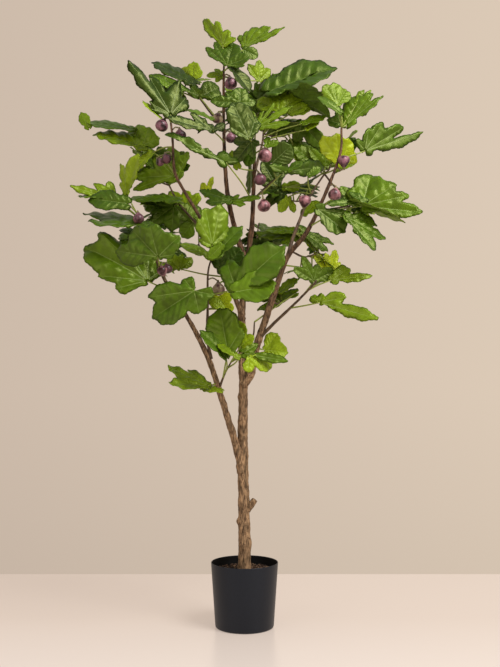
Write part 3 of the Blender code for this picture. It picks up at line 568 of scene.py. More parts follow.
# Gaps of the crown through which the photograph shows the wall: left, top, right and bottom in its pixels
SKY = (
    (284, 40, 318, 56), (328, 172, 362, 188), (256, 206, 300, 226), (300, 212, 318, 230), (183, 252, 215, 290),
    (212, 308, 224, 350), (224, 202, 238, 240), (188, 166, 222, 188), (186, 98, 214, 108), (66, 132, 118, 182),
    (140, 186, 164, 193), (250, 308, 262, 340), (262, 306, 300, 330), (364, 98, 430, 122), (376, 146, 430, 172),
    (350, 250, 430, 296), (326, 214, 346, 248), (284, 244, 304, 262), (266, 262, 282, 274), (288, 281, 302, 293),
    (314, 119, 326, 132), (228, 170, 246, 194),
)
SKY_MARGIN = 7
SKY_CHECKS = (0, 0.25, 0.5, 0.75, 1)

# Masses that the photograph hides or half hides, and how many leaves the seeded rule gives each
GROWN_MASSES = {
    "centre_back": 13, "low_back": 15, "middle_back": 17, "left_far_back": 15, "left_back": 10,
    "left_low_back": 15, "right_far_back": 16, "high_back": 16, "right_upper": 6, "inner_right": 6,
    "right_back_low": 13, "low_centre": 6, "upper_right_back": 11, "high_right": 4, "high_left": 4,
}
MOST_TRIES = 24
TIP_GAP = 0.040
COVER_MARGIN = 14
GOLDEN_ANGLE = 2.4

FIG_ROWS = 18
FIG_SIDES = 24
FIG_WIDEST = 0.65
FIG_NECK = 0.13
FIG_NECK_ROWS = 4
FIG_LENGTH = 2.4
FIG_RIBS = 9
FIG_RIB = 0.018
FIG_BASE_ROUND = 2.8
FIG_MOTTLE_SCALE = 62
FIG_MOTTLE_STRETCH = (1, 1, 0.6)
FIG_MOTTLE_ENDS = (0.40, 0.62)
FIG_TILT = 0.35

# Figs: the pixels of the middle and the neck, depth, radius and skin
FIGS = {
    "top": ((230.8, 83.5), (229.5, 75.5), -0.045, 0.0182, "plum"),
    "upper_left_outer": ((161.8, 125.5), (164.5, 118), -0.115, 0.0182, "plum"),
    "upper_left_inner": ((180.3, 135.5), (179.5, 128.5), -0.115, 0.0172, "dark"),
    "left_high": ((166.5, 159), (164, 150), -0.120, 0.0145, "dark"),
    "left_high_back": ((160.3, 162), (157, 158), -0.100, 0.0125, "plum"),
    "far_left": ((138.5, 218.5), (137.5, 211), -0.105, 0.0160, "plum"),
    "high_green": ((217.5, 118.5), (219, 108), -0.050, 0.0160, "olive"),
    "high_inner": ((231, 138), (230, 129), -0.055, 0.0155, "plum"),
    "front_upper": ((265, 155.5), (266.8, 144.5), -0.105, 0.0200, "rosy"),
    "front_middle": ((260.2, 179.5), (258.5, 172), -0.085, 0.0175, "dark"),
    "front_lower": ((264, 206), (263, 197), -0.075, 0.0185, "rosy"),
    "right_high": ((343.8, 160.5), (344.5, 170), -0.085, 0.0172, "plum"),
    "right_inner": ((304.8, 200.5), (303.5, 210), -0.035, 0.0182, "rosy"),
    "right_middle": ((334.5, 194.5), (336.5, 185), -0.105, 0.0182, "rosy"),
    "lower_left": ((162, 270.5), (165.5, 279.5), -0.125, 0.0150, "rosy"),
    "lower_left_back": ((167.5, 269), (166, 260), -0.095, 0.0145, "dark"),
    "inner_left": ((218.5, 289.5), (218, 280.5), -0.100, 0.0187, "olive"),
    "back_left": ((198, 247.5), (199, 243), 0.060, 0.0095, "dark"),
}
# Each skin: its colours in the hollows and on the swellings of its noise, partly the skin's own blotches and partly
# painted shade in the hollows and painted highlight on the swellings
FIG_SKINS_WITH_PAINTED_LIGHT = {
    "dark": ((0.014, 0.004, 0.005), (0.170, 0.060, 0.080)),
    "plum": ((0.020, 0.005, 0.007), (0.290, 0.120, 0.160)),
    "rosy": ((0.040, 0.008, 0.010), (0.400, 0.175, 0.195)),
    "olive": ((0.070, 0.022, 0.026), (0.400, 0.310, 0.180)),
}


def at_pixel(column, row, depth):
    """The point this far behind the pot's axis that the photograph shows at this pixel."""
    scale = (CAMERA_DISTANCE + depth) / FOCAL_PIXELS
    return Vector((
        CAMERA_X + (column - PHOTO_WIDTH / 2) * scale,
        depth,
        CAMERA_HEIGHT + (HORIZON_ROW - row) * scale,
    ))


def seen_at(place):
    """The pixel of the photograph that shows this point."""
    scale = (CAMERA_DISTANCE + place.y) / FOCAL_PIXELS
    return (PHOTO_WIDTH / 2 + (place.x - CAMERA_X) / scale, HORIZON_ROW - (place.z - CAMERA_HEIGHT) / scale)


def new_material(name, colour, roughness, specular=0.5, sheen=(1, 1, 1)):
    mat = bpy.data.materials.new(name)
    mat.use_nodes = True
    shader = mat.node_tree.nodes["Principled BSDF"]
    shader.inputs["Base Color"].default_value = (*colour, 1)
    shader.inputs["Roughness"].default_value = roughness
    shader.inputs["Specular IOR Level"].default_value = specular
    shader.inputs["Specular Tint"].default_value = (*sheen, 1)
    return mat


def mottle(mat, dark, light, scale, bump, detail=6, stretch=(1, 1, 1), ends=(0.3, 0.7), depth=0.001):
    """Two colours mixed by noise, and bump from the same noise."""
    nodes, links = mat.node_tree.nodes, mat.node_tree.links
    shader = nodes["Principled BSDF"]
    place = nodes.new("ShaderNodeTexCoord")
    fit = nodes.new("ShaderNodeMapping")
    fit.inputs["Scale"].default_value = stretch
    grain = nodes.new("ShaderNodeTexNoise")
    grain.inputs["Scale"].default_value = scale
    grain.inputs["Detail"].default_value = detail
    ramp = nodes.new("ShaderNodeValToRGB")
    for element, position, colour in zip(ramp.color_ramp.elements, ends, (dark, light)):
        element.position = position
        element.color = (*colour, 1)
    links.new(place.outputs["Object"], fit.inputs["Vector"])
    links.new(fit.outputs["Vector"], grain.inputs["Vector"])
    links.new(grain.outputs["Fac"], ramp.inputs["Fac"])
    links.new(ramp.outputs["Color"], shader.inputs["Base Color"])
    if bump:
        relief = nodes.new("ShaderNodeBump")
        relief.inputs["Strength"].default_value = bump
        relief.inputs["Distance"].default_value = depth
        links.new(grain.outputs["Fac"], relief.inputs["Height"])
        links.new(relief.outputs["Normal"], shader.inputs["Normal"])


def shaded(colour, factor):
    return tuple(min(1, channel * factor) for channel in colour)


def blended(colour, other, share):
    return tuple((1 - share) * channel + share * second for channel, second in zip(colour, other))


def leaf_materials():
    """Upper face, vein and underside of each tone, in the order of TONE_NAMES."""
    mats = []
    for tone, colour in LEAF_TONES_AND_PAINTED_LIGHT.items():
        upper = new_material("leaf_" + tone, colour, 0.36, 0.5, LEAF_SHEEN)
        mottle(upper, shaded(colour, 0.68), shaded(colour, 1.32), 34, 0.6, depth=0.003)
        vein_colour = blended(colour, VEIN_PALE, 0.33)
        vein = new_material("vein_" + tone, vein_colour, 0.5, 0.4)
        mottle(vein, shaded(vein_colour, 0.85), shaded(vein_colour, 1.15), 60, 0.1)
        under_colour = blended(colour, UNDERSIDE_PALE, 0.35)
        under = new_material("underside_" + tone, under_colour, 0.6, 0.3, LEAF_SHEEN)
        mottle(under, shaded(under_colour, 0.65), shaded(under_colour, 1.35), 42, 0.8, depth=0.004)
        mats += [upper, vein, under]
    return mats


def add_piece(name, verts, faces, mats, indices=None, smooth=True):
    mesh = bpy.data.meshes.new(name)
    mesh.from_pydata([tuple(v) for v in verts], [], faces)
    for mat in mats:
        mesh.materials.append(mat)
    if indices is not None:
        mesh.polygons.foreach_set("material_index", np.asarray(indices, np.int32))
    mesh.polygons.foreach_set("use_smooth", np.full(len(mesh.polygons), smooth))
    mesh.validate()
    obj = bpy.data.objects.new(name, mesh)
    bpy.context.scene.collection.objects.link(obj)
    return obj


class Pile:
    """Vertices, faces and material numbers of many small meshes of one kind."""

    def __init__(self):
        self.verts = []
        self.faces = []
        self.indices = []
        self.count = 0

    def add(self, verts, faces, index):
        self.verts.append(np.asarray(verts))
        self.faces.extend([[i + self.count for i in face] for face in faces])
        self.indices.extend(index if hasattr(index, "__len__") else [index] * len(faces))
        self.count += len(verts)

    def piece(self, name, mats):
        return add_piece(name, np.concatenate(self.verts), self.faces, mats, self.indices)


def smooth_route(knots, step):
    """Points about this far apart on a Catmull-Rom curve through the knots."""
    knots = [Vector(knot) for knot in knots]
    ends = [2 * knots[0] - knots[1], *knots, 2 * knots[-1] - knots[-2]]
    route = []
    for before, start, end, after in zip(ends, ends[1:], ends[2:], ends[3:]):
        count = max(1, round((end - start).length / step))
        for number in range(count):
            t = number / count
            bend = (2 * before - 5 * start + 4 * end - after) * t**2
            turn = (3 * start - before - 3 * end + after) * t**3
            route.append((2 * start + (end - before) * t + bend + turn) / 2)
    route.append(knots[-1])
    return route


def tube(route, radii, sides, relief=None):
    """A closed tube: rings square to the route, and a cap at each end."""
    route = [Vector(place) for place in route]
    side = Vector((0, 1, 0)) if abs((route[1] - route[0]).normalized().y) < 0.8 else Vector((1, 0, 0))
    verts = []
    for number, place in enumerate(route):
        ahead = route[min(number + 1, len(route) - 1)] - route[max(number - 1, 0)]
        along = ahead.normalized()
        side = (side - along * side.dot(along)).normalized()
        other = along.cross(side)
        for corner in range(sides):
            angle = math.tau * corner / sides
            out = side * math.cos(angle) + other * math.sin(angle)
            radius = radii[number]
            if relief:
                radius += relief(place, out, radius)
            verts.append(place + out * radius)
    faces = []
    for ring in range(len(route) - 1):
        for corner in range(sides):
            after = (corner + 1) % sides
            low = ring * sides
            faces.append((low + corner, low + after, low + sides + after, low + sides + corner))
    faces.append(tuple(reversed(range(sides))))
    faces.append(tuple(range(len(verts) - sides, len(verts))))
    return verts, faces


def bark_relief(place, out, radius):
    """Long shallow ridges and cracks, with coarser swellings, and the knots."""
    at = place + out * radius
    ridges = noise.noise(Vector((out.x * 4.5, out.y * 4.5, at.z * 30)))
    cracks = 1 - 2 * abs(noise.noise(Vector((out.x * 6, out.y * 6, at.z * 38))))
    swell = noise.noise(at * 34)
    lumps = noise.noise(at * 95)
    fine = noise.noise(at * 220)
    size = BARK_RELIEF * min(1, radius / 0.011)
    height = size * (0.7 * ridges + 0.5 * cracks + 1.5 * swell + 1.1 * lumps + 0.5 * fine)
    for knot, (width, rise) in KNOT_SHAPES:
        distance = (at - knot).length
        if distance < 3 * width:
            height += rise * math.exp(-((distance / width) ** 2))
    return height


def limb_radii(name, route):
    foot, tip = LIMBS[name][1]
    lengths = [0.0]
    for start, end in zip(route, route[1:]):
        lengths.append(lengths[-1] + (end - start).length)
    radii = []
    for place, length in zip(route, lengths):
        radius = foot + (tip - foot) * length / lengths[-1]
        if name == "trunk":
            radius += TRUNK_FLARE * math.exp(-max(0, place.z - CHIPS_TOP) / TRUNK_FLARE_HEIGHT)
        elif name != "middle_stem":
            radius *= 1 + COLLAR_SWELL * math.exp(-length / COLLAR_LENGTH)
        radii.append(radius)
    return radii


def bark_cracks(nodes, links, place):
    """Fine dark cracks along the stem: 0 in a crack, 1 on the ridges."""
    spread = nodes.new("ShaderNodeMapping")
    spread.inputs["Scale"].default_value = BARK_CRACK_STRETCH
    cracks = nodes.new("ShaderNodeTexNoise")
    cracks.inputs["Scale"].default_value = BARK_CRACK_SCALE
    cracks.inputs["Detail"].default_value = 3
    links.new(place, spread.inputs["Vector"])
    links.new(spread.outputs["Vector"], cracks.inputs["Vector"])
    return between(nodes, links, cracks.outputs["Fac"], BARK_CRACK_EDGE)


def between(nodes, links, value, ends):
    """How far a socket's value has come from the first of two ends to the second."""
    share = nodes.new("ShaderNodeMapRange")
    share.inputs["From Min"].default_value, share.inputs["From Max"].default_value = ends
    links.new(value, share.inputs["Value"])
    return share.outputs["Result"]


def mixed(nodes, links, factor, first, second):
    """Two colours, each a value or a socket, mixed by the factor."""
    mix = nodes.new("ShaderNodeMix")
    mix.data_type = "RGBA"
    links.new(factor, mix.inputs["Factor"])
    for letter, colour in (("A", first), ("B", second)):
        if isinstance(colour, tuple):
            mix.inputs[letter].default_value = (*colour, 1)
        else:
            links.new(colour, mix.inputs[letter])
    return mix.outputs["Result"]


def multiplied(nodes, links, colour, factor, other):
    """The colour socket multiplied by another colour as far as the factor says."""
    mix = nodes.new("ShaderNodeMix")
    mix.data_type = "RGBA"
    mix.blend_type = "MULTIPLY"
    mix.inputs["B"].default_value = (*other, 1)
    links.new(factor, mix.inputs["Factor"])
    links.new(colour, mix.inputs["A"])
    return mix.outputs["Result"]


def bark_material():
    """Cracked bark that darkens from the trunk up to the twigs."""
    mat = new_material("bark", BARK_PALE, 0.72, 0.35)
    mottle(mat, BARK_DARK, BARK_PALE, 120, 0.7, stretch=(1, 1, 0.3), ends=(0.36, 0.66))
    nodes, links = mat.node_tree.nodes, mat.node_tree.links
    shader = nodes["Principled BSDF"]
    pale = shader.inputs["Base Color"].links[0].from_socket
    place = nodes.new("ShaderNodeTexCoord")
    height = nodes.new("ShaderNodeSeparateXYZ")
    ridges = bark_cracks(nodes, links, place.outputs["Object"])
    depth = nodes.new("ShaderNodeMath")
    depth.operation = "SUBTRACT"
    depth.inputs[0].default_value = 1
    links.new(ridges, depth.inputs[1])
    cracked = multiplied(nodes, links, pale, depth.outputs["Value"], BARK_CRACK_COLOUR)
    links.new(place.outputs["Object"], height.inputs["Vector"])
    rise = between(nodes, links, height.outputs["Z"], BARK_DARKENS)
    darkened = multiplied(nodes, links, cracked, rise, BARK_DARKENING)
    links.new(darkened, shader.inputs["Base Color"])
    relief = nodes.new("ShaderNodeBump")
    relief.inputs["Strength"].default_value = 0.9
    relief.inputs["Distance"].default_value = 0.0015
    links.new(ridges, relief.inputs["Height"])
    links.new(shader.inputs["Normal"].links[0].from_socket, relief.inputs["Normal"])
    links.new(relief.outputs["Normal"], shader.inputs["Normal"])
    return mat


def make_limbs(twigs):
    """Trunk and boughs in one piece of bark, and thin limbs among the twigs."""
    bark = Pile()
    thick = []
    thin = []
    for name, (knots, radii) in LIMBS.items():
        is_thick = radii[0] > THICKEST_TWIG
        route = smooth_route(knots, BARK_STEP if is_thick else 2 * BARK_STEP)
        pile = bark if is_thick else twigs
        pile.add(*tube(route, limb_radii(name, route), BARK_SIDES if is_thick else TWIG_SIDES, bark_relief), 0)
        (thick if is_thick else thin).append(name)
    stub = smooth_route(STUB_ROUTE, BARK_STEP)
    radii = [STUB_RADII[0] + (STUB_RADII[1] - STUB_RADII[0]) * number / len(stub) for number in range(len(stub))]
    bark.add(*tube(stub, radii, BARK_SIDES, bark_relief), 0)
    trunk = bark.piece("bark_of_trunk_and_boughs", [bark_material()])
    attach(trunk, "root")
    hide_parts(*thick)
    return thin


def finish_twigs(twigs, thin):
    mat = new_material("twig_bark", (0.075, 0.05, 0.028), 0.6, 0.35)
    mottle(mat, (0.035, 0.020, 0.010), (0.150, 0.090, 0.045), 90, 0.5)
    piece = twigs.piece("bark_of_twigs", [mat])
    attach(piece, "root")
    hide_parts(*thin)


def inside(points, ring):
    """Which points lie inside a closed ring: those with an odd number of its edges to their right."""
    x, y = points[:, 0, None], points[:, 1, None]
    x0, y0 = ring.T
    x1, y1 = np.roll(ring, -1, axis=0).T
    spans = (y0 > y) != (y1 > y)
    rise = np.where(y1 == y0, 1, y1 - y0)
    crossing = x0 + (y - y0) * (x1 - x0) / rise
    return np.count_nonzero(spans & (x < crossing), axis=1) % 2 == 1


class Blade:
    """The flat pattern of one leaf, in shares of its length: its foot at the origin, x along the middle vein."""

    def __init__(self, body, lobes, draw):
        """Each lobe is its direction, its length, half the angle it spans and how round it is. Towards a
        neighbour a lobe spans less, so that a notch parts the two."""
        self.body = body
        self.lobes = sorted(lobes)
        self.directions = np.array([lobe[0] for lobe in self.lobes])
        spans, roundness = np.array([lobe[2:] for lobe in self.lobes]).T
        gaps = np.diff(self.directions)
        self.spans_below = np.minimum(spans, NOTCH * roundness * [math.pi, *gaps])
        self.spans_above = np.minimum(spans, NOTCH * roundness * [*gaps, math.pi])
        self.bends = np.zeros(len(lobes))
        self.ease = 1
        self.plan(self.rim(draw))

    def reach(self, angles):
        """Distance of the smooth rim from the foot of the blade, in each of these directions."""
        total = (self.body * (0.65 + 0.35 * np.cos(angles))) ** LOBE_BLEND
        for lobe, below, above in zip(self.lobes, self.spans_below, self.spans_above):
            direction, length, _, roundness = lobe
            away = np.abs(angles - direction)
            span = np.where(angles < direction, below, above)
            swell = np.maximum(0, 1 - (away / span) ** roundness) ** LOBE_FULLNESS
            point = 1 + POINTED_TIP * np.exp(-away / POINTED_TIP_WIDTH)
            total += (length / (1 + POINTED_TIP) * swell * point) ** LOBE_BLEND
        return total ** (1 / LOBE_BLEND)

    def rim(self, draw):
        """Points along the rim, with rounded teeth on a longer wave, and last the foot."""
        fine = np.linspace(-BASE_SINUS, BASE_SINUS, 4001)
        reach = self.reach(fine)
        steps = np.hypot(np.diff(reach * np.cos(fine)), np.diff(reach * np.sin(fine)))
        lengths = np.concatenate([[0], np.cumsum(steps)])
        teeth = round(lengths[-1] / TOOTH_PITCH)
        places = np.linspace(0, lengths[-1], len(TOOTH_STEPS) * teeth + 1)
        angles = np.interp(places, lengths, fine)
        reach = self.reach(angles)
        ring = np.stack([reach * np.cos(angles), reach * np.sin(angles)], axis=1)
        out = np.gradient(ring, axis=0) @ np.array([[0, -1], [1, 0]])
        out /= np.linalg.norm(out, axis=1)[:, None]
        notches = [
            min(np.linspace(first, second, 60)[1:-1], key=lambda angle: self.reach(np.array([angle]))[0])
            for first, second in zip(self.directions, self.directions[1:])
        ]
        gaps = [np.abs(reach * np.sin(angles - notch)) for notch in notches]
        calm = np.minimum(1, np.min([np.full(len(angles), SLIT_CALM), *gaps], axis=0) / SLIT_CALM)
        shift = TOOTH * np.resize(TOOTH_STEPS, len(angles))
        shift += WAVE * np.sin(math.tau * places / WAVE_PITCH + draw.uniform(0, math.tau))
        ring += out * (shift * calm)[:, None]
        return np.concatenate([ring, [[0, 0]]])

    def vein_lines(self, first):
        """Points on both sides of each main vein, and the edges that join them, numbered from first."""
        points = []
        edges = []
        for direction, length, *_ in self.lobes:
            steps = np.arange(VEIN_START, 0.90 * length, VEIN_STEP)
            tip = first + len(points)
            points.append((0.94 * length * math.cos(direction), 0.94 * length * math.sin(direction)))
            for side in (-1, 1):
                across = side * VEIN_WIDTH * (1.1 - steps / length)
                x = steps * math.cos(direction) - across * math.sin(direction)
                y = steps * math.sin(direction) + across * math.cos(direction)
                numbers = [first + len(points) + number for number in range(len(steps))] + [tip]
                points += zip(x, y)
                edges += zip(numbers, numbers[1:])
        return np.array(points), edges

    def nearest_lobe(self, points):
        """Along and across each point's nearest main vein, with that lobe's length and the point's direction."""
        angles = np.arctan2(points[:, 1], points[:, 0])
        lobe = np.argmin(np.abs(angles[:, None] - self.directions), axis=1)
        distance = np.linalg.norm(points, axis=1)
        away = angles - self.directions[lobe]
        lengths = np.array([length for _, length, *_ in self.lobes])[lobe]
        return distance * np.cos(away), np.abs(distance * np.sin(away)), lengths, angles

    def plan(self, ring):
        """Triangles of the upper face and of the lower one, which share the rim, and the part each belongs to."""
        veins, edges = self.vein_lines(len(ring))
        row_step = GRID * math.sqrt(3) / 2
        x, y = np.meshgrid(np.arange(-1, 1.1, GRID), np.arange(-1.1, 1.1, row_step))
        x[::2] += GRID / 2
        grid = np.stack([x.ravel(), y.ravel()], axis=1)
        grid = grid[inside(grid, ring)]
        fixed = np.concatenate([ring, veins])
        gaps = np.min(np.linalg.norm(grid[:, None] - fixed, axis=2), axis=1)
        grid = grid[gaps > 0.55 * GRID]
        edges += [(number, (number + 1) % len(ring)) for number in range(len(ring))]
        points = [Vector(point) for point in np.concatenate([fixed, grid])]
        places, _, faces, sources, _, _ = delaunay_2d_cdt(points, edges, [], 1, 1e-7)
        self.points = np.array([tuple(place) for place in places])
        is_rim = np.array([any(number < len(ring) for number in source) for source in sources])
        self.inner = np.flatnonzero(~is_rim)
        below = np.arange(len(self.points))
        below[self.inner] = len(self.points) + np.arange(len(self.inner))
        upper = np.array(faces)
        upper = upper[~is_rim[upper].all(axis=1)]
        centres = self.points[upper].mean(axis=1)
        along, across, length, _ = self.nearest_lobe(centres)
        is_vein = (across < 0.9 * VEIN_WIDTH * (1.1 - along / length)) & (along > VEIN_START)
        self.faces = np.concatenate([upper, below[upper[:, ::-1]]]).tolist()
        self.parts = np.concatenate([np.where(is_vein, 1, 0), np.full(len(upper), 2)])
        self.along, self.across, _, self.angles = self.nearest_lobe(self.points)
        self.share = np.linalg.norm(self.points, axis=1) / self.reach(self.angles)

    def surface(self, draw, length, fold):
        """One leaf: each lobe a shallow valley along its vein, puckered between the side veins, rippled at the
        rim, and bowed so that foot and tip stay on one line."""
        x, y = self.points.T
        run = (self.along - SIDE_VEIN_SLOPE * self.across) / SIDE_VEIN_PITCH
        blade = np.minimum(1, self.across / 0.05) * np.maximum(0, 1 - self.share**4)
        phase = draw.uniform(0, math.tau)
        height = fold * (np.sqrt(self.across**2 + 0.0006) - 0.0245)
        height += draw.uniform(*PUCKER) * blade * np.abs(np.sin(math.pi * run))
        height += self.ease * draw.uniform(*DROOP) * (x - x**2 - y**2)
        height += self.ease * draw.uniform(*CUP) * y**2
        height += self.ease * draw.uniform(*TWIST) * x * y
        height += draw.uniform(*RIPPLE) * self.share**3 * np.sin(math.tau * 0.5 * run + phase + 2 * self.angles)
        height += WARP * np.sin(7 * x + phase) * np.sin(6 * y + 2 * phase) * self.share
        height -= np.interp(self.angles, self.directions, self.bends) * np.hypot(x, y)
        top = np.stack([x, y, height], axis=1) * length
        low = top[self.inner] - np.array([0, 0, LEAF_THICKNESS])
        return np.concatenate([top, low])


def blade_of_kind(kind, number):
    """One of the stock patterns, with lobes that differ a little from side to side."""
    draw = random.Random(f"{kind} {number}")
    body, roundness, arms = LEAF_KINDS[kind]
    lobes = []
    for direction, length, half_angle in arms:
        for way in (-1, 1) if direction else (1,):
            turn = way * direction + draw.uniform(-0.08, 0.08) * bool(direction)
            size = length * (draw.uniform(0.90, 1.08) if direction else 1)
            lobes.append((turn, size, half_angle * draw.uniform(0.94, 1.08), roundness))
    return Blade(body, lobes, draw)


class Foliage:
    """Leaves and stalks, gathered into piles."""

    def __init__(self):
        self.blades = {
            kind: [blade_of_kind(kind, number) for number in range(KIND_VARIANTS)]
            for kind in LEAF_KINDS
        }
        self.leaves = [Pile()]
        self.stalks = Pile()

    def leaf(self, base, tip, normal, kind, tone, draw, fold):
        """One leaf from base to tip, its upper face towards normal; kind is a stock pattern or its own."""
        base, tip, normal = Vector(base), Vector(tip), Vector(normal)
        forward = (tip - base).normalized()
        normal = (normal - forward * normal.dot(forward)).normalized()
        turn = np.array([forward, normal.cross(forward), normal])
        blade = kind if isinstance(kind, Blade) else draw.choice(self.blades[kind])
        verts = blade.surface(draw, (tip - base).length, fold) @ turn + np.array(base)
        if len(self.leaves[-1].faces) + len(blade.faces) > MOST_TRIANGLES:
            self.leaves.append(Pile())
        self.leaves[-1].add(verts, blade.faces, blade.parts + 3 * TONE_NAMES.index(tone))

    def stalk(self, start, base, forward, radius=0.0021):
        """A leaf stalk that leaves the twig, and meets the blade from behind."""
        start, base = Vector(start), Vector(base)
        length = (base - start).length
        middle = (start + base) / 2 - Vector(forward) * 0.06 * length + Vector((0, 0, 0.03 * length))
        route = smooth_route((start, middle, base), 0.012)
        taper = [radius * (1.2 - 0.35 * number / len(route)) for number in range(len(route))]
        self.stalks.add(*tube(route, taper, 7), 0)

    def finish(self):
        mats = leaf_materials()
        nodes = [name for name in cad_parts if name.startswith("foliage_")]
        for number, pile in enumerate(self.leaves):
            piece = pile.piece(f"leaves_{number + 1}", mats)
            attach(piece, "root")
            if number == 0:
                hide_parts(*nodes)
        mat = new_material("leaf_stalk", STALK_COLOUR, 0.5, 0.35)
        mottle(mat, shaded(STALK_COLOUR, 0.7), shaded(STALK_COLOUR, 1.2), 80, 0.1)
        piece = self.stalks.piece("leaf_stalks", [mat])
        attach(piece, "root")


def is_in_sky(base, tip):
    """Whether a leaf's middle vein comes near a gap of the photograph."""
    for share in SKY_CHECKS:
        column, row = seen_at(base.lerp(tip, share))
        for left, top, right, bottom in SKY:
            if (left - SKY_MARGIN < column < right + SKY_MARGIN
                    and top - SKY_MARGIN < row < bottom + SKY_MARGIN):
                return True
    return False


def hides_a_leaf(base, tip):
    """Whether a leaf stands in front of one that the photograph shows."""
    for share in SKY_CHECKS:
        place = base.lerp(tip, share)
        seen = seen_at(place)
        for foot, depth, _, *lobes in PHOTO_LEAVES.values():
            if place.y > depth:
                continue
            for end, *_ in lobes:
                if math.dist(seen, (foot[0] / 2 + end[0] / 2, foot[1] / 2 + end[1] / 2)) < COVER_MARGIN:
                    return True
    return False


def grow_mass(foliage, twigs, name, count, ways, draw):
    """The seeded rule: a twig from the nearest limb into the mass, and leaves round it in a spiral."""
    low, high = (Vector(corner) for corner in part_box("foliage_" + name))
    centre = (low + high) / 2
    start = min(ways, key=lambda place: (place - centre).length + 0.6 * max(0, place.z - centre.z))
    axis = (centre - start).normalized()
    side = axis.cross(Vector((0, 0, 1))).normalized()
    other = side.cross(axis)
    bow = other * 0.12 * (centre - start).length
    route = smooth_route((start, (start + centre) / 2 - bow, centre), 0.012)
    taper = [0.0030 - 0.0014 * number / len(route) for number in range(len(route))]
    twigs.add(*tube(route, taper, TWIG_SIDES, bark_relief), 0)
    tips = []
    for number in range(MOST_TRIES * count):
        share = 0.25 + 0.75 * (number % count) / (count - 1)
        node = route[min(len(route) - 1, round(share * len(route)))]
        angle = GOLDEN_ANGLE * number + draw.uniform(-0.3, 0.3)
        out = side * math.cos(angle) + other * math.sin(angle)
        forward = (out + axis * (share - 0.1) + Vector((0, 0, draw.uniform(-0.55, 0.40)))).normalized()
        base = node + forward * draw.uniform(0.030, 0.060)
        tip = base + forward * draw.uniform(0.110, 0.170)
        base = Vector([min(max(base[i], low[i]), high[i]) for i in range(3)])
        tip = Vector([min(max(tip[i], low[i]), high[i]) for i in range(3)])
        crowded = any((tip - other).length < TIP_GAP for other in tips)
        if crowded or (tip - base).length < 0.06 or is_in_sky(base, tip) or hides_a_leaf(base, tip):
            continue
        normal = Vector((draw.uniform(-0.4, 0.4), draw.uniform(-0.9, 0.3), 1)) + out * 0.5
        tone = draw.choice(("deep", "dark", "dark", "mid", "mid", "mid", "fresh", "bright"))
        kind = draw.choice(("five", "five", "three", "oval"))
        foliage.leaf(base, tip, normal, kind, tone, draw, draw.uniform(0.10, 0.35))
        foliage.stalk(node, base, forward)
        tips.append(tip)
        if len(tips) == count:
            break


def facing(base, forward, breadth):
    """The normal of a blade that shows this share of its breadth to the camera: the upper face, or the underside
    where the share is negative. What is left of it turns up and outwards."""
    view = (Vector((CAMERA_X, -CAMERA_DISTANCE, CAMERA_HEIGHT)) - base).normalized()
    view = (view - forward * view.dot(forward)).normalized()
    other = forward.cross(view)
    if other.dot(Vector((base.x, 0, 0.6))) < 0:
        other = -other
    return view * breadth + other * math.sqrt(1 - breadth**2)


def on_plane(column, row, base, normal):
    """The point of a leaf's plane that the photograph shows at this pixel."""
    eye = Vector((CAMERA_X, -CAMERA_DISTANCE, CAMERA_HEIGHT))
    ray = at_pixel(column, row, 0) - eye
    return eye + ray * ((base - eye).dot(normal) / ray.dot(normal))


def place_lobed_leaf(foliage, name, base, depth, tone, blades):
    """A leaf of several lobes in one blade, with each lobe's tip at its pixel; returns its direction."""
    draw = random.Random(name)
    breadths = [breadth for _, _, breadth, _ in blades]
    shown = MOST_SHOWN * min(1, BREADTH_SHOWN * max(map(abs, breadths)))
    lean = Vector((0, draw.uniform(*LEAN), 0))
    forward = sum(((at_pixel(*tip, depth) - base).normalized() + lean for tip, *_ in blades), Vector())
    normal = facing(base, forward.normalized(), math.copysign(shown, breadths[0]))
    arms = [on_plane(*tip, base, normal) - base for tip, *_ in blades]
    forward = sum((arm.normalized() for arm in arms), Vector()).normalized()
    side = normal.cross(forward)
    longest = max(arm.length for arm in arms)
    lobes = []
    for arm, (_, kind, breadth, _) in zip(arms, blades):
        half_angle, roundness = LOBE_SHAPES[kind]
        direction = math.atan2(arm.dot(side), arm.dot(forward))
        half_angle *= abs(breadth) * MOST_SHOWN / shown
        lobes.append((direction, arm.length / longest, half_angle, roundness))
    fold = sum(blade[3] for blade in blades) / len(blades)
    fullness = max(map(abs, breadths)) * MOST_SHOWN / shown
    pattern = Blade(LOBED_BODY * fullness * sum(lobe[1] for lobe in lobes) / len(lobes), lobes, draw)
    pattern.ease = shown**2
    pattern.bends = np.array([draw.uniform(*BEND) * shown**2 for _ in lobes])
    foliage.leaf(base, base + forward * longest, normal, pattern, tone, draw, fold)
    return forward


def place_photo_leaf(foliage, name, ways):
    """One leaf where the photograph shows it, on a stalk from the nearest limb."""
    foot, depth, tone, *blades = PHOTO_LEAVES[name]
    base = at_pixel(*foot, depth)
    if len(blades) > 1:
        forward = place_lobed_leaf(foliage, name, base, depth, tone, blades)
    else:
        tip, kind, breadth, fold = blades[0]
        draw = random.Random(f"{name} 0")
        seen = (at_pixel(*tip, depth) - base).length
        end = at_pixel(*tip, depth + draw.uniform(*LEAN) * seen)
        forward = (end - base).normalized()
        foliage.leaf(base, end, facing(base, forward, breadth), kind, tone, draw, fold)
    if name in WITHOUT_STALK:
        return
    if name in STALKS_FROM:
        start = min(ways, key=lambda place: math.dist(seen_at(place), STALKS_FROM[name]))
    else:
        start = min(ways, key=lambda place: (place - base).length + 0.5 * max(0, place.z - base.z))
    foliage.stalk(start, base, forward)


def make_foliage(foliage, twigs):
    ways = [place for name, (knots, _) in LIMBS.items() if name != "trunk" for place in smooth_route(knots, 0.02)]
    for name in PHOTO_LEAVES:
        place_photo_leaf(foliage, name, ways)
    for name, count in GROWN_MASSES.items():
        grow_mass(foliage, twigs, name, count, ways, random.Random(name))
    foliage.finish()
    return ways


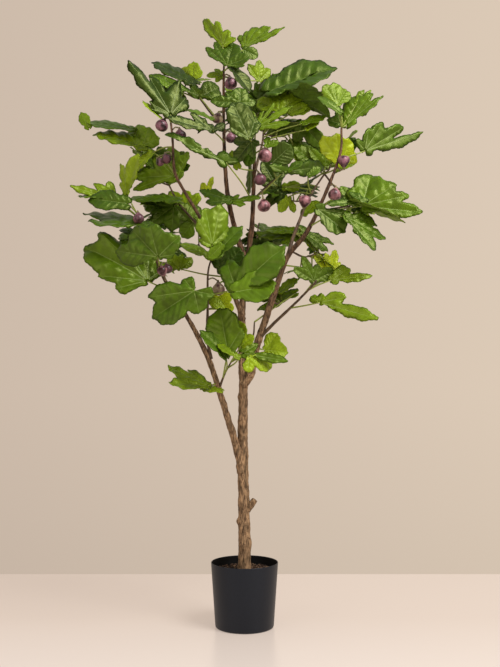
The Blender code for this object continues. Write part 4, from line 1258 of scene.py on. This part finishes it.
def fig_profile():
    """Pairs from stalk to eye: share of the length, and radius as a share of the fig's own."""
    pairs = []
    for step in range(FIG_ROWS + 1):
        share = step / FIG_ROWS
        if share < FIG_WIDEST:
            rise = share / FIG_WIDEST
            pairs.append((share, FIG_NECK + (1 - FIG_NECK) * rise**2 * (3 - 2 * rise)))
        else:
            fall = (share - FIG_WIDEST) / (1 - FIG_WIDEST)
            pairs.append((share, max(FIG_NECK, math.sqrt(1 - fall**FIG_BASE_ROUND))))
    return pairs


def add_fig(skins, ways, name, number):
    """A pear-shaped fig with faint ribs, hung from the nearest limb by its neck."""
    pixel, neck_pixel, depth, radius, _ = FIGS[name]
    centre = at_pixel(*pixel, depth)
    neck_way = (at_pixel(*neck_pixel, depth) - centre).normalized()
    up = (neck_way + Vector((0, FIG_TILT, 0))).normalized()
    side = up.cross(Vector((0, 1, 0))).normalized()
    other = up.cross(side)
    length = FIG_LENGTH * radius
    verts = []
    for share, wide in FIG_PROFILE:
        middle = centre + up * length * (FIG_WIDEST - share)
        for corner in range(FIG_SIDES):
            angle = math.tau * corner / FIG_SIDES
            rib = 1 + FIG_RIB * math.cos(FIG_RIBS * angle) * math.sin(math.pi * share)
            verts.append(middle + (side * math.cos(angle) + other * math.sin(angle)) * radius * wide * rib)
    faces = []
    for row in range(len(FIG_PROFILE) - 1):
        for corner in range(FIG_SIDES):
            after = (corner + 1) % FIG_SIDES
            low = row * FIG_SIDES
            faces.append((low + after, low + corner, low + FIG_SIDES + corner, low + FIG_SIDES + after))
    faces.append(tuple(range(FIG_SIDES)))
    faces.append(tuple(reversed(range(len(verts) - FIG_SIDES, len(verts)))))
    parts = [2 + number if face[0] // FIG_SIDES >= FIG_NECK_ROWS else 0 for face in faces]
    parts[-2:] = [0, 1]
    skins.add(verts, faces, parts)
    neck = centre + up * length * FIG_WIDEST
    start = min(ways, key=lambda place: (place - neck).length)
    route = smooth_route((start, (start + neck) / 2 + up * 0.006, neck - up * 0.003), 0.006)
    skins.add(*tube(route, [0.0021] * len(route), 7), 0)


def make_figs(ways):
    skins = Pile()
    for name, row in FIGS.items():
        add_fig(skins, ways, name, list(FIG_SKINS_WITH_PAINTED_LIGHT).index(row[-1]))
    green = new_material("fig_neck", (0.16, 0.13, 0.05), 0.5, 0.4)
    mottle(green, (0.120, 0.060, 0.050), (0.240, 0.230, 0.080), 110, 0.1)
    eye = new_material("fig_eye", (0.10, 0.05, 0.03), 0.7, 0.3)
    mottle(eye, (0.060, 0.030, 0.020), (0.150, 0.080, 0.050), 200, 0.3)
    mats = [green, eye]
    for name, (dark, light) in FIG_SKINS_WITH_PAINTED_LIGHT.items():
        skin = new_material("fig_skin_" + name, dark, 0.36, 0.45)
        # Partly painted shade and highlight: the dark colour lies in the bump's hollows, the pale one on its swellings
        mottle(skin, dark, light, FIG_MOTTLE_SCALE, 0.15, stretch=FIG_MOTTLE_STRETCH, ends=FIG_MOTTLE_ENDS)
        mats.append(skin)
    piece = skins.piece("figs", mats)
    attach(piece, "root")


def turned(name, profile, mats, steps, inner_rows=0):
    """A turned shape from points (radius, height), listed so that its outer side runs down. The first inner_rows
    rows of faces take the second material."""
    verts = []
    for step in range(steps):
        angle = math.tau * step / steps
        verts += [(radius * math.cos(angle), radius * math.sin(angle), z) for radius, z in profile]
    faces = []
    size = len(profile)
    for step in range(steps):
        after = (step + 1) % steps
        for row in range(size - 1):
            faces.append((step * size + row, after * size + row, after * size + row + 1, step * size + row + 1))
    faces.append(tuple(step * size for step in reversed(range(steps))))
    faces.append(tuple(step * size + size - 1 for step in range(steps)))
    parts = [int(number % (size - 1) < inner_rows) for number in range(len(faces) - 2)] + [0, 0]
    return add_piece(name, verts, faces, mats, parts)


def arc(centre, radius, start, end, steps):
    """Points (radius, height) on a round edge, with angles in degrees."""
    points = []
    for step in range(steps + 1):
        angle = math.radians(start + (end - start) * step / steps)
        points.append((centre[0] + radius * math.cos(angle), centre[1] + radius * math.sin(angle)))
    return points


def make_pot():
    outside = new_material("pot_plastic", POT_COLOUR, 0.42, 0.42, POT_SHEEN)
    mottle(outside, shaded(POT_COLOUR, 0.8), shaded(POT_COLOUR, 1.2), 240, 0.05)
    # Painted shade inside the pot: a darker, less glossy black than the outside
    inside_shade_mat = new_material("pot_inside", POT_INSIDE_PAINTED_SHADE, 0.5, 0.12)
    mottle(inside_shade_mat, shaded(POT_INSIDE_PAINTED_SHADE, 0.8), shaded(POT_INSIDE_PAINTED_SHADE, 1.2), 240, 0.05)
    lip = POT_WALL / 2
    profile = [
        (POT_FOOT_RADIUS - POT_WALL, POT_FLOOR),
        *arc((POT_RIM_RADIUS - lip, POT_HEIGHT - lip), lip, 180, 0, 8),
        *arc((POT_FOOT_RADIUS - POT_FOOT_ROUND, POT_FOOT_ROUND), POT_FOOT_ROUND, 0, -90, 6),
    ]
    pot = turned("pot_shell", profile, [outside, inside_shade_mat], POT_STEPS, inner_rows=1)
    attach(pot, "root")
    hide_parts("pot")


def add_chip(pile, draw):
    """One flat splinter of bark, lying loosely in the bed."""
    radius = math.sqrt(draw.uniform(CHIP_RING[0]**2, CHIP_RING[1]**2))
    angle = draw.uniform(0, math.tau)
    size = draw.uniform(*CHIP_LENGTHS)
    long_way = Vector((draw.uniform(-1, 1), draw.uniform(-1, 1), draw.uniform(-0.3, 0.3))).normalized()
    up = Vector((draw.uniform(-0.6, 0.6), draw.uniform(-0.6, 0.6), 1))
    up = (up - long_way * up.dot(long_way)).normalized()
    side = long_way.cross(up)
    centre = Vector((radius * math.cos(angle), radius * math.sin(angle), CHIPS_TOP + draw.uniform(-0.002, 0.004)))
    corners = []
    for z in (-1, 1):
        for x, y in ((-1, -1), (1, -1), (1, 1), (-1, 1)):
            bend = draw.uniform(0.7, 1.1)
            corners.append(centre + long_way * x * size * bend / 2 + side * y * size * CHIP_WIDTH * bend
                           + up * z * size * CHIP_THICKNESS)
    faces = ((3, 2, 1, 0), (4, 5, 6, 7), (0, 1, 5, 4), (1, 2, 6, 5), (2, 3, 7, 6), (3, 0, 4, 7))
    pile.add(corners, faces, draw.randrange(len(CHIP_COLOURS)))


def make_chips():
    draw = random.Random(7)
    pile = Pile()
    for _ in range(CHIP_COUNT):
        add_chip(pile, draw)
    mats = []
    for name, colour in CHIP_COLOURS.items():
        mat = new_material(name, colour, 0.85, 0.3)
        mottle(mat, shaded(colour, 0.6), shaded(colour, 1.3), 200, 0.5)
        mats.append(mat)
    bed = turned("chip_bed", CHIP_BED, mats[:1], 96)
    chips = pile.piece("chips", mats)
    for piece in (bed, chips):
        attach(piece, "root")
    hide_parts("chip_topping")


def finish_plug():
    mat = new_material("plug_cement", (0.30, 0.29, 0.27), 0.9, 0.3)
    mottle(mat, (0.24, 0.23, 0.21), (0.36, 0.35, 0.33), 60, 0.4)
    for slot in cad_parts["plug"].material_slots:
        slot.material = mat


def floor_material():
    """A satin floor with painted light: it glows, paler towards the camera, in place of light falling on it, and the
    glow lifts its shadows.
    """
    mat = new_material("pale_floor", FLOOR_COLOUR, 0.26, 0.35)
    nodes, links = mat.node_tree.nodes, mat.node_tree.links
    shader = nodes["Principled BSDF"]
    place = nodes.new("ShaderNodeTexCoord")
    axes = nodes.new("ShaderNodeSeparateXYZ")
    links.new(place.outputs["Object"], axes.inputs["Vector"])
    nearness = between(nodes, links, axes.outputs["Y"], FLOOR_PAINTED_LIGHT_ENDS)
    # Painted light: the floor emits this glow though it is no lamp
    floor_painted_light = mixed(nodes, links, nearness, FLOOR_PAINTED_LIGHT_BACK, FLOOR_PAINTED_LIGHT_FRONT)
    links.new(floor_painted_light, shader.inputs["Emission Color"])
    shader.inputs["Emission Strength"].default_value = 1
    return mat


def make_floor():
    side, back, low = FLOOR_REACH, FLOOR_BACK, -0.0005
    floor = add_piece("floor", [(-side, -side, low), (side, -side, low), (side, back, low), (-side, back, low)],
                      [(0, 1, 2, 3)], [floor_material()], smooth=False)


def add_light(name, place, size, power):
    """A square soft box that faces the crown."""
    light = bpy.data.lights.new(name, "AREA")
    light.size = size
    light.energy = power
    obj = bpy.data.objects.new(name, light)
    obj.location = place
    obj.visible_camera = False
    obj.rotation_euler = (Vector(LIGHTS_AIM) - Vector(place)).to_track_quat("-Z", "Y").to_euler()
    bpy.context.scene.collection.objects.link(obj)


def make_lights():
    for name, (place, size, power) in SOFT_BOXES.items():
        add_light(name, place, size, power)


def make_backdrop():
    """A world of one pale wall colour all round, a little paler on the right as painted light and darker near the
    floor as painted shade, with white light from above."""
    world = bpy.data.worlds.new("backdrop")
    world.use_nodes = True
    nodes, links = world.node_tree.nodes, world.node_tree.links
    way = nodes.new("ShaderNodeTexCoord")
    axes = nodes.new("ShaderNodeSeparateXYZ")
    links.new(way.outputs["Generated"], axes.inputs["Vector"])
    wall = mixed(nodes, links, between(nodes, links, axes.outputs["X"], BACKDROP_SIDES), BACKDROP_LEFT, BACKDROP_PAINTED_LIGHT_RIGHT)
    lowness = between(nodes, links, axes.outputs["Z"], BACKDROP_SHADE_ROWS)
    wall = multiplied(nodes, links, wall, lowness, BACKDROP_SHADE)
    colour = mixed(nodes, links, between(nodes, links, axes.outputs["Z"], BACKDROP_TOP), wall, LIGHT_FROM_ABOVE)
    links.new(colour, nodes["Background"].inputs["Color"])
    bpy.context.scene.world = world
    bpy.context.scene.view_settings.view_transform = "Standard"


def make_camera():
    camera = bpy.data.cameras.new("photo_camera")
    camera.sensor_width = SENSOR
    camera.lens = FOCAL_PIXELS * SENSOR / PHOTO_HEIGHT
    camera.shift_y = (HORIZON_ROW - PHOTO_HEIGHT / 2) / PHOTO_HEIGHT
    obj = bpy.data.objects.new("photo_camera", camera)
    obj.location = (CAMERA_X, -CAMERA_DISTANCE, CAMERA_HEIGHT)
    obj.rotation_euler = (math.radians(90), 0, 0)
    bpy.context.scene.collection.objects.link(obj)
    bpy.context.scene.camera = obj


KNOT_SHAPES = [(at_pixel(*pixel, depth), shape) for pixel, depth, shape in KNOTS.values()]
FIG_PROFILE = fig_profile()

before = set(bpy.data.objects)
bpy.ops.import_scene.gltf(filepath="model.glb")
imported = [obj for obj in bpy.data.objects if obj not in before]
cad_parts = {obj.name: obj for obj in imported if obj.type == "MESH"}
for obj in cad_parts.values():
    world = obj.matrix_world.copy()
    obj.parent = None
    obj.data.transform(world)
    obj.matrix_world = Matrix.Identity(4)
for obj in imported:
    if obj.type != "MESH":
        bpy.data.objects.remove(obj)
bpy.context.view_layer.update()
twig_pile = Pile()
thin_limbs = make_limbs(twig_pile)
limb_places = make_foliage(Foliage(), twig_pile)
finish_twigs(twig_pile, thin_limbs)
make_figs(limb_places)
make_pot()
make_chips()
finish_plug()
make_floor()
make_lights()
make_backdrop()
make_camera()
